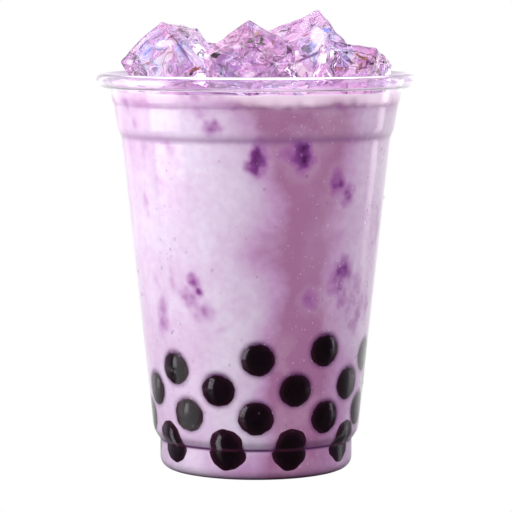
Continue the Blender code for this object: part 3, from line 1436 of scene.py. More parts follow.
CLUMPS = (
    Clump(19.4, 98.4, 4.6, 6.4, 1.0),
    Clump(15.5, 98.9, 6.0, 5.0, 0.42),
    Clump(17.5, 106.4, 4.6, 1.8, 0.24),
    Clump(0.6, 97.6, 4.4, 7.4, 0.74, 8.0),
    Clump(1.6, 99.0, 8.4, 7.0, 0.24, 8.0),
    Clump(-64.0, 113.0, 5.0, 5.6, 0.34),
    Clump(-58.0, 107.0, 4.0, 4.4, 0.28),
    Clump(43.6, 61.7, 7.0, 8.0, 0.62, 25.0),
    Clump(46.9, 55.0, 3.6, 6.0, 0.45, 30.0),
    Clump(27.2, 55.1, 4.6, 4.4, 0.50),
    Clump(37.5, 90.2, 4.2, 6.0, 0.55),
    Clump(43.9, 86.1, 4.0, 5.0, 0.55),
    Clump(-17.7, 106.9, 4.2, 3.4, 0.55),
    Clump(-22.4, 111.3, 3.6, 3.0, 0.40),
    Clump(-23.5, 116.0, 7.0, 1.6, 0.55),
    Clump(-6.7, 109.6, 4.0, 3.0, 0.22),
    Clump(-53.9, 116.4, 3.0, 1.8, 0.55),
    Clump(-37.0, 98.2, 5.0, 5.0, 0.28),
    Clump(-55.0, 99.8, 4.4, 4.4, 0.25),
    Clump(-45.9, 89.6, 4.0, 4.0, 0.22),
    Clump(-57.7, 83.4, 2.4, 6.6, 0.32),
    Clump(-33.9, 55.4, 3.6, 7.0, 0.46, -35.0),
    Clump(-25.5, 50.6, 5.0, 5.0, 0.42, -30.0),
    Clump(-52.1, 49.4, 4.0, 8.6, 0.46, 10.0),
    Clump(73.7, 76.6, 3.4, 9.0, 0.50),
    Clump(68.4, 51.2, 3.4, 7.0, 0.40),
    Clump(56.6, 45.8, 4.0, 4.0, 0.40),
    Clump(-16.4, 46.3, 4.4, 3.6, 0.22),
    Clump(17.0, 113.0, 12.0, 2.4, 0.28, 3.0),
    Clump(34.0, 112.6, 9.0, 3.4, 0.24, -4.0),
    Clump(-6.0, 112.6, 9.0, 1.6, 0.26),
    Clump(-39.0, 100.6, 6.0, 2.0, 0.30, 20.0),
    Clump(-35.0, 96.0, 3.0, 4.0, 0.26, 10.0),
    Clump(-30.6, 60.6, 3.2, 3.6, 0.50, -35.0),
    Clump(-28.8, 57.4, 2.6, 3.0, 0.62, -20.0),
    Clump(-43.0, 61.0, 2.4, 7.0, 0.26, -8.0),
    Clump(-55.0, 60.0, 2.4, 4.4, 0.30, -20.0),
    Clump(54.0, 56.0, 5.6, 13.0, 0.34, 20.0),
    Clump(60.0, 50.0, 3.6, 9.0, 0.42, 16.0),
    Clump(44.6, 66.0, 3.0, 4.0, 0.40, 20.0),
    Clump(30.0, 73.0, 7.0, 16.0, 0.14, 10.0),
)


@dataclass(frozen=True)
class Patch:
    """A part of the drink made richer or paler, some of it painted shade, by its shares at angles in degrees
    and at heights in mm.
    """

    amount: float
    angles: Steps
    heights: Steps

    def at(self, angles: np.ndarray, heights: np.ndarray) -> np.ndarray:
        """Return how much the patch adds to the drink's richer colour and painted shade at each place."""
        return self.amount * steps_at(self.angles, angles) * steps_at(self.heights, heights / MM)


PATCHES = (
    Patch(0.36, angles=((-24, 0), (10, 1), (44, 0)), heights=((99, 0), (106, 1))),
    Patch(0.85, angles=((-3, 0), (17, 1), (37, 0)), heights=((84, 0), (94, 1))),
    Patch(0.26, angles=((4, 0), (16, 1), (50, 1), (66, 0)), heights=((32, 1), (46, 0))),
    Patch(-0.22, angles=((-17, 0), (-1, 1), (15, 0)), heights=((52, 1), (64, 0))),
    Patch(0.26, angles=((13, 0), (25, 1), (37, 0)), heights=((38, 0), (52, 1), (66, 0))),
    Patch(0.20, angles=((-110, 0), (-80, 1), (-56, 1), (-46, 0)), heights=((92, 0), (100, 1))),
    # painted shade in the middle of the foot
    Patch(0.42, angles=((-36, 0), (-12, 1), (12, 1), (36, 0)), heights=((7.6, 1), (9.6, 0))),
)


@dataclass(frozen=True)
class Around:
    """Where the vertices of a piece lie round the cup's axis, and how they are bent by chance."""

    angles: np.ndarray  # degrees from the front, to the right
    radii: np.ndarray
    heights: np.ndarray
    warp: np.ndarray  # one small vector each, which changes quickly
    bend: np.ndarray  # one small number each, which changes slowly

    def beyond(self, angle: float) -> np.ndarray:
        """Return by how many degrees each vertex lies to the right of an angle."""
        return (self.angles - angle + 180.0) % 360.0 - 180.0


@dataclass
class MilkTea:
    """The drink, which reaches just into the cup's wall."""

    cup: Cup
    level: float = 116.2 * MM
    into_wall: float = 0.1 * MM
    row_spacing: float = 0.7 * MM
    floor_spacing: float = 3.0 * MM
    top_spacing: float = 1.2 * MM
    sides: int = 384
    swell: float = 0.5 * MM
    swell_size: float = 9.0 * MM
    warp_size: float = 2.6 * MM
    bend_size: float = 16.0 * MM
    # painted shade lines: along the seam and under the two ledges
    ledge_shade_lines: tuple[Line, ...] = (
        Line(9.45 * MM, 0.55 * MM, 1.0), Line(102.8 * MM, 1.0 * MM, 0.55), Line(112.5 * MM, 0.5 * MM, 0.24),
    )
    foam_line: Steps = (  # degrees from the front, depth of the foam in mm
        (-180.0, 0.8), (-100.0, 0.6), (-60.0, -1.4), (-14.0, -1.2), (0.0, 1.0), (12.0, 1.7), (24.0, 1.8),
        (32.0, 0.4), (40.0, 0.3), (50.0, 1.6), (62.0, 1.4), (90.0, 0.8), (180.0, 0.8),
    )
    richness_and_shade: Steps = (  # degrees from the front, how much richer; the rise on the right is partly painted shade, away from the key light
        (-180.0, 0.15), (-70.0, 0.12), (-48.0, 0.0), (-11.0, 0.0), (-2.0, 0.22), (7.0, 0.55),
        (15.0, 0.96), (25.0, 1.06), (32.0, 0.86), (40.0, 0.42), (48.0, 0.20), (75.0, 0.14), (180.0, 0.15),
    )
    pearl_edge: float = 4.9 * MM  # how far from its middle the shade of a pearl starts
    pearl_shades: tuple[Fade, ...] = (Fade(0.95, 1.9 * MM, 1.8), Fade(0.03, 6.0 * MM))
    foot_shades: tuple[Fade, ...] = (Fade(0.8, 1.6 * MM), Fade(0.16, 10.0 * MM, 0.5))
    seam_shades: tuple[Line, ...] = (Line(9.5 * MM, 0.5 * MM, 0.85), Line(10.8 * MM, 1.2 * MM, 0.30))
    side_shade: Line = Line(9.8 * MM, 1.7 * MM, 0.6)
    side_angles: Steps = ((56.0, 0.0), (76.0, 1.0))  # degrees to either side, share of the side's shade
    clump_warp: tuple[float, float] = (1.2 * MM, 1.5 * MM)  # across and up
    clump_spread: float = 0.8  # half a clump's oval, as a share of its size
    clump_reach: float = 60.0  # degrees
    richness_and_shade_warp: float = 9.0  # degrees
    richness_and_shade_bend: float = 0.10
    top_band: Steps = ((110.0, 0.0), (113.0, 1.0))  # height in mm, share of the band's richness
    top_richness: float = 0.26
    top_bend: float = 0.5
    foam_bends: tuple[float, float] = (0.5, 0.9)  # mm, slow and quick
    foam_fade: float = 2.6 * MM
    bubbles: Steps = ((-10.0, 0.28), (40.0, 0.78))  # degrees from the front, share of bubbles
    bubble_bend: float = 0.3
    rear_clumps: int = 34
    seed: int = 7
    finish: TaroMilk = field(default_factory=TaroMilk)

    def profile(self) -> Profile:
        """Draw the drink's section.

        Returns:
            Its profile, from the axis below round to the axis at the level.
        """
        side = [p for p in self.cup.inner_side(-self.into_wall) if p[1] < self.level - 0.2 * MM]
        edge = float(self.cup.inner_radius(np.array([self.level]))[0]) + self.into_wall
        floor_height = self.cup.recess_depth + self.cup.wall - self.into_wall
        floor = [
            (0.0, floor_height),
            (self.cup.recess_radius - self.cup.recess_depth, floor_height),
            (self.cup.recess_radius, self.cup.wall - self.into_wall),
        ]
        top = [(edge, self.level), (edge - 0.5 * MM, self.level - 0.15 * MM), (0.0, self.level - 0.4 * MM)]
        return (
            with_spacing(floor, self.floor_spacing)
            + with_spacing(side, self.row_spacing)
            + with_spacing(top, self.top_spacing)
        )

    def around(self, drink: bpy.types.Object) -> Around:
        """Find where the drink's vertices lie round the cup.

        Args:
            drink: The drink.

        Returns:
            The vertices' places.
        """
        places = coordinates(drink)
        return Around(
            angles=np.degrees(np.arctan2(places[:, 0], -places[:, 1])),
            radii=np.hypot(places[:, 0], places[:, 1]),
            heights=places[:, 2],
            warp=np.array([noise.noise_vector(Vector(p) / self.warp_size) for p in places]),
            bend=np.array([noise.noise(Vector(p) / self.bend_size) for p in places]),
        )

    def clumps(self) -> list[Clump]:
        """Gather the clumps that the front shows and draw others like them round the back.

        Returns:
            All the clumps.
        """
        draw = random.Random(self.seed)
        rear = [
            Clump(
                angle=draw.uniform(88.0, 272.0),
                height=draw.uniform(44.0, 112.0),
                width=draw.uniform(3.0, 5.6),
                tall=draw.uniform(3.4, 8.0),
                strength=draw.choice((0.25, 0.35, 0.5, 0.55, 0.7)),
                lean=draw.uniform(-30.0, 30.0),
            )
            for _ in range(self.rear_clumps)
        ]
        return [*CLUMPS, *rear]

    def clumped(self, around: Around) -> np.ndarray:
        """Work out where the clumps are, with wandering edges.

        Args:
            around: Where the drink's vertices lie.

        Returns:
            How dark a clump each vertex shows.
        """
        found = np.zeros(len(around.heights))
        for spot in self.clumps():
            turn = around.beyond(spot.angle)
            across = np.radians(turn) * around.radii + around.warp[:, 0] * self.clump_warp[0]
            up = around.heights - spot.height * MM + around.warp[:, 1] * self.clump_warp[1]
            half = (self.clump_spread * spot.width * MM, self.clump_spread * spot.tall * MM)
            near = np.exp(-oval(across, up, half, spot.lean)) * spot.strength
            found = np.maximum(found, np.where(np.abs(turn) < self.clump_reach, near, 0.0))
        return found

    def enriched_and_shaded(self, around: Around) -> np.ndarray:
        """Work out how much richer the drink looks, partly painted shade on the right away from the key light,
        with a band of its own under the rim.

        Args:
            around: Where the drink's vertices lie.

        Returns:
            The richness of each vertex.
        """
        rich_and_shaded = steps_at(self.richness_and_shade, around.angles + self.richness_and_shade_warp * around.bend)
        rich_and_shaded += self.richness_and_shade_bend * around.bend
        for patch in PATCHES:
            # How much richer each vertex looks, with its painted shade.
            rich_and_shaded += patch.at(around.angles, around.heights)
        top = self.top_richness + self.top_bend * around.bend
        return rich_and_shaded + top * steps_at(self.top_band, around.heights / MM)

    def foamed(self, around: Around) -> np.ndarray:
        """Work out where foam lies along the drink's level.

        Args:
            around: Where the drink's vertices lie.

        Returns:
            How much foam each vertex shows.
        """
        uneven = self.foam_bends[0] * around.bend + self.foam_bends[1] * around.warp[:, 1]
        foam = (steps_at(self.foam_line, around.angles) + uneven) * MM
        return 1.0 - np.clip((self.level - around.heights - foam) / self.foam_fade, 0.0, 1.0)

    def bubbled(self, around: Around) -> np.ndarray:
        """Return how many fine bubbles each part of the drink shows."""
        return steps_at(self.bubbles, around.angles) + self.bubble_bend * around.bend

    def shaded(self, around: Around) -> np.ndarray:
        """Work out the shade round the pearls, at the foot and along the seam.

        Args:
            around: Where the drink's vertices lie.

        Returns:
            The depth of shade at each vertex.
        """
        nearest = np.full(len(around.heights), 1.0)
        for angle, height in (middle for row in PEARL_MIDDLES for middle in row):
            across = np.radians(around.beyond(angle)) * around.radii
            nearest = np.minimum(nearest, np.hypot(across, around.heights - height * MM))
        at_sides = steps_at(self.side_angles, np.abs(around.angles))
        shades = [shade.at(nearest - self.pearl_edge) for shade in self.pearl_shades]
        shades += [shade.at(around.heights) for shade in (*self.foot_shades, *self.seam_shades)]
        return np.maximum.reduce([*shades, self.side_shade.at(around.heights) * at_sides])

    def paint(self, drink: bpy.types.Object) -> None:
        """Store where the drink is richer, clumped or foamy, and where shade is painted on it.

        Args:
            drink: The drink.
        """
        around = self.around(drink)
        write_mask(drink, "clump", self.clumped(around))
        write_mask(drink, "rich_and_shaded", self.enriched_and_shaded(around))
        write_mask(drink, "foam", self.foamed(around))
        write_mask(drink, "bubbles", self.bubbled(around))
        write_mask(drink, "shadow", self.shaded(around))
        write_mask(drink, "ledge_shade", np.maximum.reduce([line.at(around.heights) for line in self.ledge_shade_lines]))

    def ripple(self, drink: bpy.types.Object) -> None:
        """Let the open surface swell a little between the ice.

        Args:
            drink: The drink.
        """
        places = coordinates(drink)
        within = np.hypot(places[:, 0], places[:, 1]) < self.cup.upper_band_radius - 1.6 * MM
        for index in np.flatnonzero(within & (places[:, 2] > self.level - 0.5 * MM)):
            places[index, 2] += self.swell * noise.noise(Vector(places[index]) / self.swell_size)
        write_coordinates(drink, places)

    def build(self) -> bpy.types.Object:
        """Model the drink and dress it.

        Returns:
            The drink.
        """
        drink = spun("milk_tea", self.profile(), self.sides)
        self.ripple(drink)
        shade(drink, 40.0)
        self.paint(drink)
        dress(drink, self.finish.material())
        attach(drink, "root")
        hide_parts("taro_milk_tea")
        return drink


# The ice


@dataclass(frozen=True)
class IceBlock:
    """One block: the node it stands for, its centre (mm), turn (degrees) and edges (mm)."""

    node: str
    centre: tuple[float, float, float]
    turn: tuple[float, float, float]
    size: tuple[float, float, float]


ICE_BLOCKS = (
    IceBlock("ice_left", (-24.3, -2.0, 122.3), (13, -46, 138), (22, 21, 20)),
    IceBlock("ice_front", (-1.4, -17.8, 121.9), (31, -32, 34), (20, 20, 20)),
    IceBlock("ice_back", (15.8, 12.0, 124.1), (-37, 129, -107), (21, 21, 20)),
    IceBlock("ice_right", (28.5, -14.0, 119.5), (80, -165, 71), (20, 19, 18)),
    IceBlock("ice_rear_left", (-12.0, 22.0, 119.0), (167, 172, 167), (21, 20, 19)),
    IceBlock("ice_low_front_left", (-22.0, -22.0, 111.0), (125, -147, 158), (15, 15, 13)),
    IceBlock("ice_low_front_right", (11.0, -31.0, 109.0), (-133, -150, 44), (14, 13, 12)),
    IceBlock("ice_low_rear", (8.0, 31.0, 113.0), (-35, 122, 64), (15, 14, 13)),
    IceBlock("ice_low_right", (32.0, 6.0, 111.0), (-130, 13, -167), (14, 14, 13)),
    IceBlock("ice_low_rear_right", (25.0, 23.0, 112.0), (-34, -28, 140), (12, 12, 11)),
    IceBlock("ice_low_middle", (2.0, 3.0, 112.0), (72, 109, 177), (15, 14, 13)),
)


@dataclass(frozen=True)
class IceMark:
    """Something in the ice, or a painted glint on it, as the front shows it: place and size in mm, lean in
    degrees.
    """

    tone: Tone
    across: float
    height: float
    width: float
    tall: float
    lean: float = 0.0
    strength: float = 0.8


# tints of the ice's front, and the painted glints (PALE)
ICE_TINTS_AND_GLINTS = (
    IceMark(Tone.PALE, -27.6, 130.6, 5.0, 1.8, 8.0, 1.0),
    IceMark(Tone.PALE, -38.5, 125.0, 1.6, 1.4, 0.0, 1.0),
    IceMark(Tone.PALE, -14.9, 127.2, 0.9, 1.6, 10.0, 1.0),
    IceMark(Tone.PALE, -5.6, 130.0, 4.0, 0.9, 5.0, 0.6),
    IceMark(Tone.PALE, 19.0, 132.6, 3.4, 4.6, 0.0, 0.9),
    IceMark(Tone.PALE, 19.8, 126.4, 2.0, 2.8, -25.0, 1.0),
    IceMark(Tone.PALE, 12.4, 127.6, 1.2, 1.2, 0.0, 1.0),
    IceMark(Tone.COOL, -32.0, 128.4, 7.0, 3.0, 38.0, 0.9),
    IceMark(Tone.COOL, -19.5, 129.0, 6.0, 8.0, 20.0, 0.9),
    IceMark(Tone.COOL, -27.0, 125.0, 9.0, 3.0, 0.0, 0.5),
    IceMark(Tone.COOL, 22.0, 133.0, 5.0, 5.0, 0.0, 0.7),
    IceMark(Tone.VIOLET, -6.0, 127.5, 8.0, 5.0, 30.0, 0.45),
    IceMark(Tone.VIOLET, 3.0, 128.4, 6.0, 3.0, 0.0, 0.3),
    IceMark(Tone.VIOLET, -30.0, 133.4, 12.0, 1.2, 38.0, 0.5),
    IceMark(Tone.VIOLET, 8.0, 134.6, 12.0, 1.2, 24.0, 0.5),
    IceMark(Tone.VIOLET, 33.0, 125.0, 6.0, 4.0, -20.0, 0.3),
)

ICE_FLAKES = (
    IceMark(Tone.COOL, -33.0, 128.2, 4.2, 0.8, 42.0, 0.6),
    IceMark(Tone.COOL, -29.0, 131.4, 3.6, 0.6, 30.0, 0.6),
    IceMark(Tone.COOL, -23.4, 129.6, 1.4, 2.6, -20.0, 0.5),
    IceMark(Tone.NAVY, -18.0, 131.6, 1.3, 1.0),
    IceMark(Tone.NAVY, -22.6, 127.0, 1.0, 0.6, 0.0, 0.7),
    IceMark(Tone.DARK, -20.6, 133.4, 1.2, 0.7),
    IceMark(Tone.VIOLET, -34.5, 130.2, 4.6, 0.6, 40.0, 0.7),
    IceMark(Tone.VIOLET, -24.6, 134.2, 3.2, 0.5, -14.0, 0.6),
    IceMark(Tone.PLUM, -37.0, 125.8, 2.6, 0.6, 48.0, 0.7),
    IceMark(Tone.PLUM, -36.4, 121.8, 3.6, 1.0, -15.0, 0.6),
    IceMark(Tone.WARM, -32.6, 124.6, 3.0, 0.8, -20.0, 0.5),
    IceMark(Tone.DARK, -15.9, 127.2, 2.2, 2.8, 10.0, 1.0),
    IceMark(Tone.DARK, -12.1, 127.9, 3.0, 2.5, 40.0, 1.0),
    # painted highlights in two bubbles
    IceMark(Tone.PALE, -14.1, 127.2, 1.0, 2.4, 10.0, 1.0),
    IceMark(Tone.PALE, -12.0, 127.2, 0.7, 0.6, 0.0, 0.9),
    IceMark(Tone.PLUM, -13.0, 130.6, 4.0, 0.6, 32.0, 0.8),
    IceMark(Tone.PLUM, -7.4, 133.0, 2.0, 0.6, 30.0, 0.7),
    IceMark(Tone.GOLD, 0.4, 134.0, 1.4, 3.0, -20.0, 0.6),
    IceMark(Tone.OLIVE, -1.6, 131.8, 2.2, 1.6, 10.0, 0.8),
    IceMark(Tone.OLIVE, 1.6, 132.2, 1.2, 3.0, 0.0, 0.8),
    IceMark(Tone.OLIVE, 1.4, 131.0, 3.4, 0.8, -10.0, 0.8),
    IceMark(Tone.OLIVE, -3.8, 130.4, 2.6, 0.7, -20.0, 0.5),
    IceMark(Tone.OLIVE, 3.2, 129.6, 2.6, 0.7, 30.0, 0.4),
    IceMark(Tone.PLUM, -7.0, 131.4, 6.0, 0.5, 8.0, 0.5),
    IceMark(Tone.WARM, 5.0, 131.4, 0.8, 2.4, 0.0, 0.5),
    IceMark(Tone.PLUM, 10.0, 129.4, 3.0, 1.0, -52.0, 0.6),
    IceMark(Tone.PLUM, 9.6, 125.6, 1.0, 0.7, 0.0, 0.8),
    IceMark(Tone.VIOLET, -1.0, 125.6, 3.4, 0.6, -25.0, 0.5),
    IceMark(Tone.VIOLET, 1.4, 122.0, 1.6, 0.7, 30.0, 0.6),
    IceMark(Tone.WARM, -18.4, 123.2, 3.6, 1.2, 20.0, 0.9),
    IceMark(Tone.DARK, -19.6, 121.6, 1.6, 0.7, 40.0, 0.9),
    IceMark(Tone.DARK, -16.4, 123.4, 1.8, 0.5, -20.0, 0.8),
    IceMark(Tone.PLUM, 14.6, 127.0, 2.0, 1.4, 0.0, 0.8),
    IceMark(Tone.PLUM, 9.0, 134.6, 3.6, 0.9, 8.0, 0.8),
    IceMark(Tone.VIOLET, 12.8, 136.8, 4.0, 0.6, 22.0, 0.6),
    IceMark(Tone.WARM, 15.4, 133.2, 2.0, 1.4, 40.0, 0.6),
    IceMark(Tone.WARM, 16.2, 131.6, 1.6, 0.8, 0.0, 0.5),
    IceMark(Tone.OLIVE, 15.4, 129.0, 2.6, 3.0, 0.0, 0.4),
    IceMark(Tone.COOL, 21.8, 134.6, 3.0, 1.4, -30.0, 0.5),
    IceMark(Tone.DARK, 23.6, 127.9, 0.8, 0.8),
    IceMark(Tone.DARK, 26.9, 128.4, 0.8, 0.8),
    IceMark(Tone.PLUM, 20.6, 125.4, 1.0, 2.6, -30.0, 0.6),
    IceMark(Tone.GOLD, 31.4, 127.0, 4.6, 0.9, -30.0, 0.8),
    IceMark(Tone.WARM, 30.6, 123.6, 1.2, 4.0, -30.0, 0.6),
    IceMark(Tone.GOLD, 36.8, 122.4, 1.9, 1.7, 0.0, 1.0),
    IceMark(Tone.DARK, 37.4, 121.4, 1.0, 0.6),
    IceMark(Tone.DARK, 38.6, 125.2, 1.2, 0.9),
    IceMark(Tone.WARM, 24.6, 123.4, 3.2, 1.4, 0.0, 0.5),
    IceMark(Tone.PLUM, 28.0, 125.6, 3.4, 0.7, -24.0, 0.6),
    IceMark(Tone.PLUM, 34.4, 125.0, 1.4, 0.7, 0.0, 0.7),
)


@dataclass
class IceHeap:
    """The blocks of ice, with melted edges, uneven faces, and bubbles and cracks inside."""

    edge_radius: float = 1.3 * MM
    painted_edge_shade_reach: float = 1.2 * MM  # how far from an edge its painted shade reaches
    unevenness: tuple[tuple[str, float, float], ...] = (  # name, size and height
        ("swell", 11.0 * MM, 1.2 * MM), ("dent", 4.5 * MM, 0.9 * MM),
    )
    cuts: int = 54
    bubbles: int = 22
    bubble_radii: tuple[float, ...] = (0.25, 0.3, 0.4, 0.7)  # mm
    cracks: int = 8
    crack_radii: tuple[float, float] = (1.6, 3.4)  # mm
    crack_thickness: float = 0.06
    inside_margin: float = 3.0 * MM
    flake_depth: float = 0.45 * MM
    flake_thickness: float = 0.4
    flake_bend: float = 0.35 * MM
    flake_bend_size: float = 0.9 * MM
    seed: int = 11
    finish: LilacIce = field(default_factory=LilacIce)
    flake_finish: FrozenFlakes = field(default_factory=FrozenFlakes)

    def blank(self, shape: IceBlock) -> bpy.types.Object:
        """Model a block with melted edges and fine faces, still at the origin.

        Args:
            shape: The block's size.

        Returns:
            The block, which stores how near each vertex lies to an edge.
        """
        deselect_all()
        bpy.ops.mesh.primitive_cube_add(size=1.0)
        piece = bpy.context.object
        piece.name = shape.node + "_block"
        edit_all()
        bpy.ops.transform.resize(value=[edge * MM for edge in shape.size], center_override=ORIGIN)
        bpy.ops.mesh.subdivide(number_cuts=self.cuts)
        bpy.ops.object.mode_set(mode="OBJECT")
        places = coordinates(piece)
        half = 0.5 * MM * np.array(shape.size)
        second = np.sort(np.abs(places) - half, axis=1)[:, 1]
        write_mask(piece, "edge", 1.0 + second / self.painted_edge_shade_reach)
        kernel = np.clip(places, self.edge_radius - half, half - self.edge_radius)
        away = places - kernel
        away *= self.edge_radius / np.linalg.norm(away, axis=1)[:, None]
        write_coordinates(piece, kernel + away)
        return piece

    def uneven(self, piece: bpy.types.Object) -> None:
        """Swell and dent the faces of a placed block.

        Args:
            piece: The block.
        """
        for name, size, height in self.unevenness:
            texture = bpy.data.textures.new(name, "CLOUDS")
            texture.noise_scale = size
            texture.noise_depth = 0
            push = piece.modifiers.new(name, "DISPLACE")
            push.texture = texture
            push.texture_coords = "LOCAL"
            push.strength = height
            push.mid_level = 0.5
        apply_modifiers(piece)

    def mark(self, piece: bpy.types.Object) -> None:
        """Store the tints and the painted glints that show on the block's front.

        Args:
            piece: The block.
        """
        places = coordinates(piece)
        normals = np.empty(len(places) * 3)
        piece.data.vertices.foreach_get("normal", normals)
        ahead = np.clip(-2.5 * normals.reshape(-1, 3)[:, 1], 0.0, 1.0)
        for tone in (Tone.PALE, Tone.COOL, Tone.VIOLET):
            found = np.zeros(len(places))
            for spot in (spot for spot in ICE_TINTS_AND_GLINTS if spot.tone is tone):
                across = places[:, 0] - spot.across * MM
                up = places[:, 2] - spot.height * MM
                half = (0.5 * spot.width * MM, 0.5 * spot.tall * MM)
                near = np.clip(2.4 * np.exp(-(oval(across, up, half, -spot.lean) ** 1.5)), 0.0, 1.0)
                found = np.maximum(found, near * spot.strength)
            write_mask(piece, tone.name.lower(), found * ahead)

    def inside(self, shape: IceBlock, draw: random.Random) -> list[bpy.types.Object]:
        """Model the bubbles and cracks inside a block that stands at the origin.

        Args:
            shape: The block's size.
            draw: Source of their places and sizes.

        Returns:
            The bubbles and cracks.
        """
        half = [0.5 * edge * MM - self.inside_margin for edge in shape.size]
        made = []
        for number in range(self.bubbles + self.cracks):
            deselect_all()
            flat = number >= self.bubbles
            size = draw.uniform(*self.crack_radii) if flat else draw.choice(self.bubble_radii)
            bpy.ops.mesh.primitive_ico_sphere_add(
                subdivisions=3 if flat else 2,
                radius=size * MM,
                location=[draw.uniform(-reach, reach) for reach in half],
                rotation=[draw.uniform(0.0, math.pi) for _ in range(3)],
                scale=(1.0, draw.uniform(0.5, 0.9), self.crack_thickness if flat else 1.0),
            )
            piece = bpy.context.object
            settle(piece)
            made.append(piece)
        return made

    def block(
        self, shape: IceBlock, material: bpy.types.Material, draw: random.Random
    ) -> bpy.types.Object:
        """Model one block at its place and dress it.

        Args:
            shape: The block's place and size.
            material: The finish of all the ice.
            draw: Source of what lies inside it.

        Returns:
            The dressed block.
        """
        piece = self.blank(shape)
        within = joined("inside", self.inside(shape, draw))
        for part in (piece, within):
            part.location = [value * MM for value in shape.centre]
            part.rotation_euler = [math.radians(value) for value in shape.turn]
            settle(part)
        self.uneven(piece)
        self.mark(piece)
        piece = joined(shape.node + "_block", [piece, within])
        shade(piece, 80.0)
        dress(piece, material)
        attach(piece, "root")
        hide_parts(shape.node)
        return piece

    def shown_at(self, spot: IceMark, blocks: list[bpy.types.Object]) -> tuple[Vector, Vector] | None:
        """Find the surface of the ice that shows at a spot on the front.

        Args:
            spot: The spot.
            blocks: The blocks of ice.

        Returns:
            The place and its normal, or nothing where no ice lies behind the spot.
        """
        start = Vector((spot.across * MM, -60.0 * MM, spot.height * MM))
        hits = [block.ray_cast(start, Vector(Axis.Y.value)) for block in blocks]
        found = [(place, normal) for hit, place, normal, _ in hits if hit]
        return min(found, key=lambda pair: pair[0].y) if found else None

    def flake(self, spot: IceMark, place: Vector, normal: Vector) -> bpy.types.Object:
        """Model one flake just below the surface of the block that shows it.

        Args:
            spot: The flake's size, lean and tone.
            place: Where the surface lies.
            normal: The way that the surface faces.

        Returns:
            The flake.
        """
        deselect_all()
        bpy.ops.mesh.primitive_ico_sphere_add(subdivisions=4, radius=0.5 * MM)
        piece = bpy.context.object
        edit_all()
        narrow = min(spot.width, spot.tall)
        form = (spot.width, narrow * self.flake_thickness, spot.tall)
        bpy.ops.transform.resize(value=form, center_override=ORIGIN)
        bpy.ops.object.mode_set(mode="OBJECT")
        shift = Vector((spot.across, spot.height, spot.width))
        for vertex in piece.data.vertices:
            bend = noise.noise_vector(vertex.co / self.flake_bend_size + shift)
            vertex.co += self.flake_bend * narrow * Vector((bend.x, 0.0, bend.z))
        piece.data.transform(
            Matrix.Translation(place - normal * self.flake_depth)
            @ Vector((0.0, -1.0, 0.0)).rotation_difference(normal).to_matrix().to_4x4()
            @ Matrix.Rotation(-math.radians(spot.lean), 4, "Y")
        )
        count = len(piece.data.vertices)
        write_vectors(piece, "tone", np.tile(spot.tone.value, (count, 1)))
        write_mask(piece, "body", np.full(count, spot.strength))
        return piece

    def flakes(self, blocks: list[bpy.types.Object]) -> bpy.types.Object:
        """Model everything frozen just below the surface of the ice, and the painted highlights in its
        bubbles, and dress it.

        Args:
            blocks: The blocks of ice.

        Returns:
            All the flakes as one piece.
        """
        surfaces = [(spot, self.shown_at(spot, blocks)) for spot in ICE_FLAKES]
        heap = joined("ice_flakes", [self.flake(spot, *surface) for spot, surface in surfaces if surface])
        shade(heap, 80.0)
        dress(heap, self.flake_finish.material())
        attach(heap, "root")
        return heap

    def build(self) -> list[bpy.types.Object]:
        """Model every block and what is frozen into them.

        Returns:
            The blocks and the flakes.
        """
        draw = random.Random(self.seed)
        material = self.finish.material()
        blocks = [self.block(shape, material, draw) for shape in ICE_BLOCKS]
        return [*blocks, self.flakes(blocks)]


# The studio


@dataclass(frozen=True)
class Softbox:
    """A soft light that stands round the cup and faces it."""

    name: str
    angle: float  # degrees from the front, to the right
    distance: float
    height: float
    width: float
    tall: float
    power: float
    mirrored: bool = True  # whether glossy surfaces show it
    fading: float = 0.2  # share of the light over which each edge fades
    high: float = 0.4  # a light above this height is aimed down at the ice
    aim_height: float = 0.12

    def fade_edges(self, data: bpy.types.AreaLight) -> None:
        """Let the light grow dimmer towards its edges.

        Args:
            data: The light.
        """
        data.use_nodes = True
        tree = data.node_tree
        place = tree.nodes.new("ShaderNodeNewGeometry")
        split = tree.nodes.new("ShaderNodeSeparateXYZ")
        tree.links.new(place.outputs["Parametric"], split.inputs[0])
        both = calculation(tree, "MULTIPLY")
        for index, axis in enumerate("XY"):
            fold = calculation(tree, "PINGPONG")
            fold.inputs[1].default_value = 0.5
            rise = stretching(tree, smooth=True)
            rise.inputs["From Max"].default_value = self.fading
            tree.links.new(split.outputs[axis], fold.inputs[0])
            tree.links.new(fold.outputs[0], rise.inputs["Value"])
            tree.links.new(rise.outputs["Result"], both.inputs[index])
        tree.links.new(both.outputs[0], tree.nodes["Emission"].inputs["Strength"])

    def build(self) -> None:
        """Stand the light at its place."""
        turn = math.radians(self.angle)
        data = bpy.data.lights.new(self.name, "AREA")
        data.shape = "RECTANGLE"
        data.size = self.width
        data.size_y = self.tall
        data.energy = self.power
        self.fade_edges(data)
        lamp = bpy.data.objects.new(self.name, data)
        lamp.location = (math.sin(turn) * self.distance, -math.cos(turn) * self.distance, self.height)
        aim_height = self.aim_height if self.height > self.high else self.height
        aim = Vector((0.0, 0.0, aim_height)) - lamp.location
        lamp.rotation_euler = aim.to_track_quat("-Z", "Y").to_euler()
        lamp.visible_camera = False
        lamp.visible_glossy = self.mirrored
        lamp.visible_transmission = self.mirrored
        bpy.context.scene.collection.objects.link(lamp)


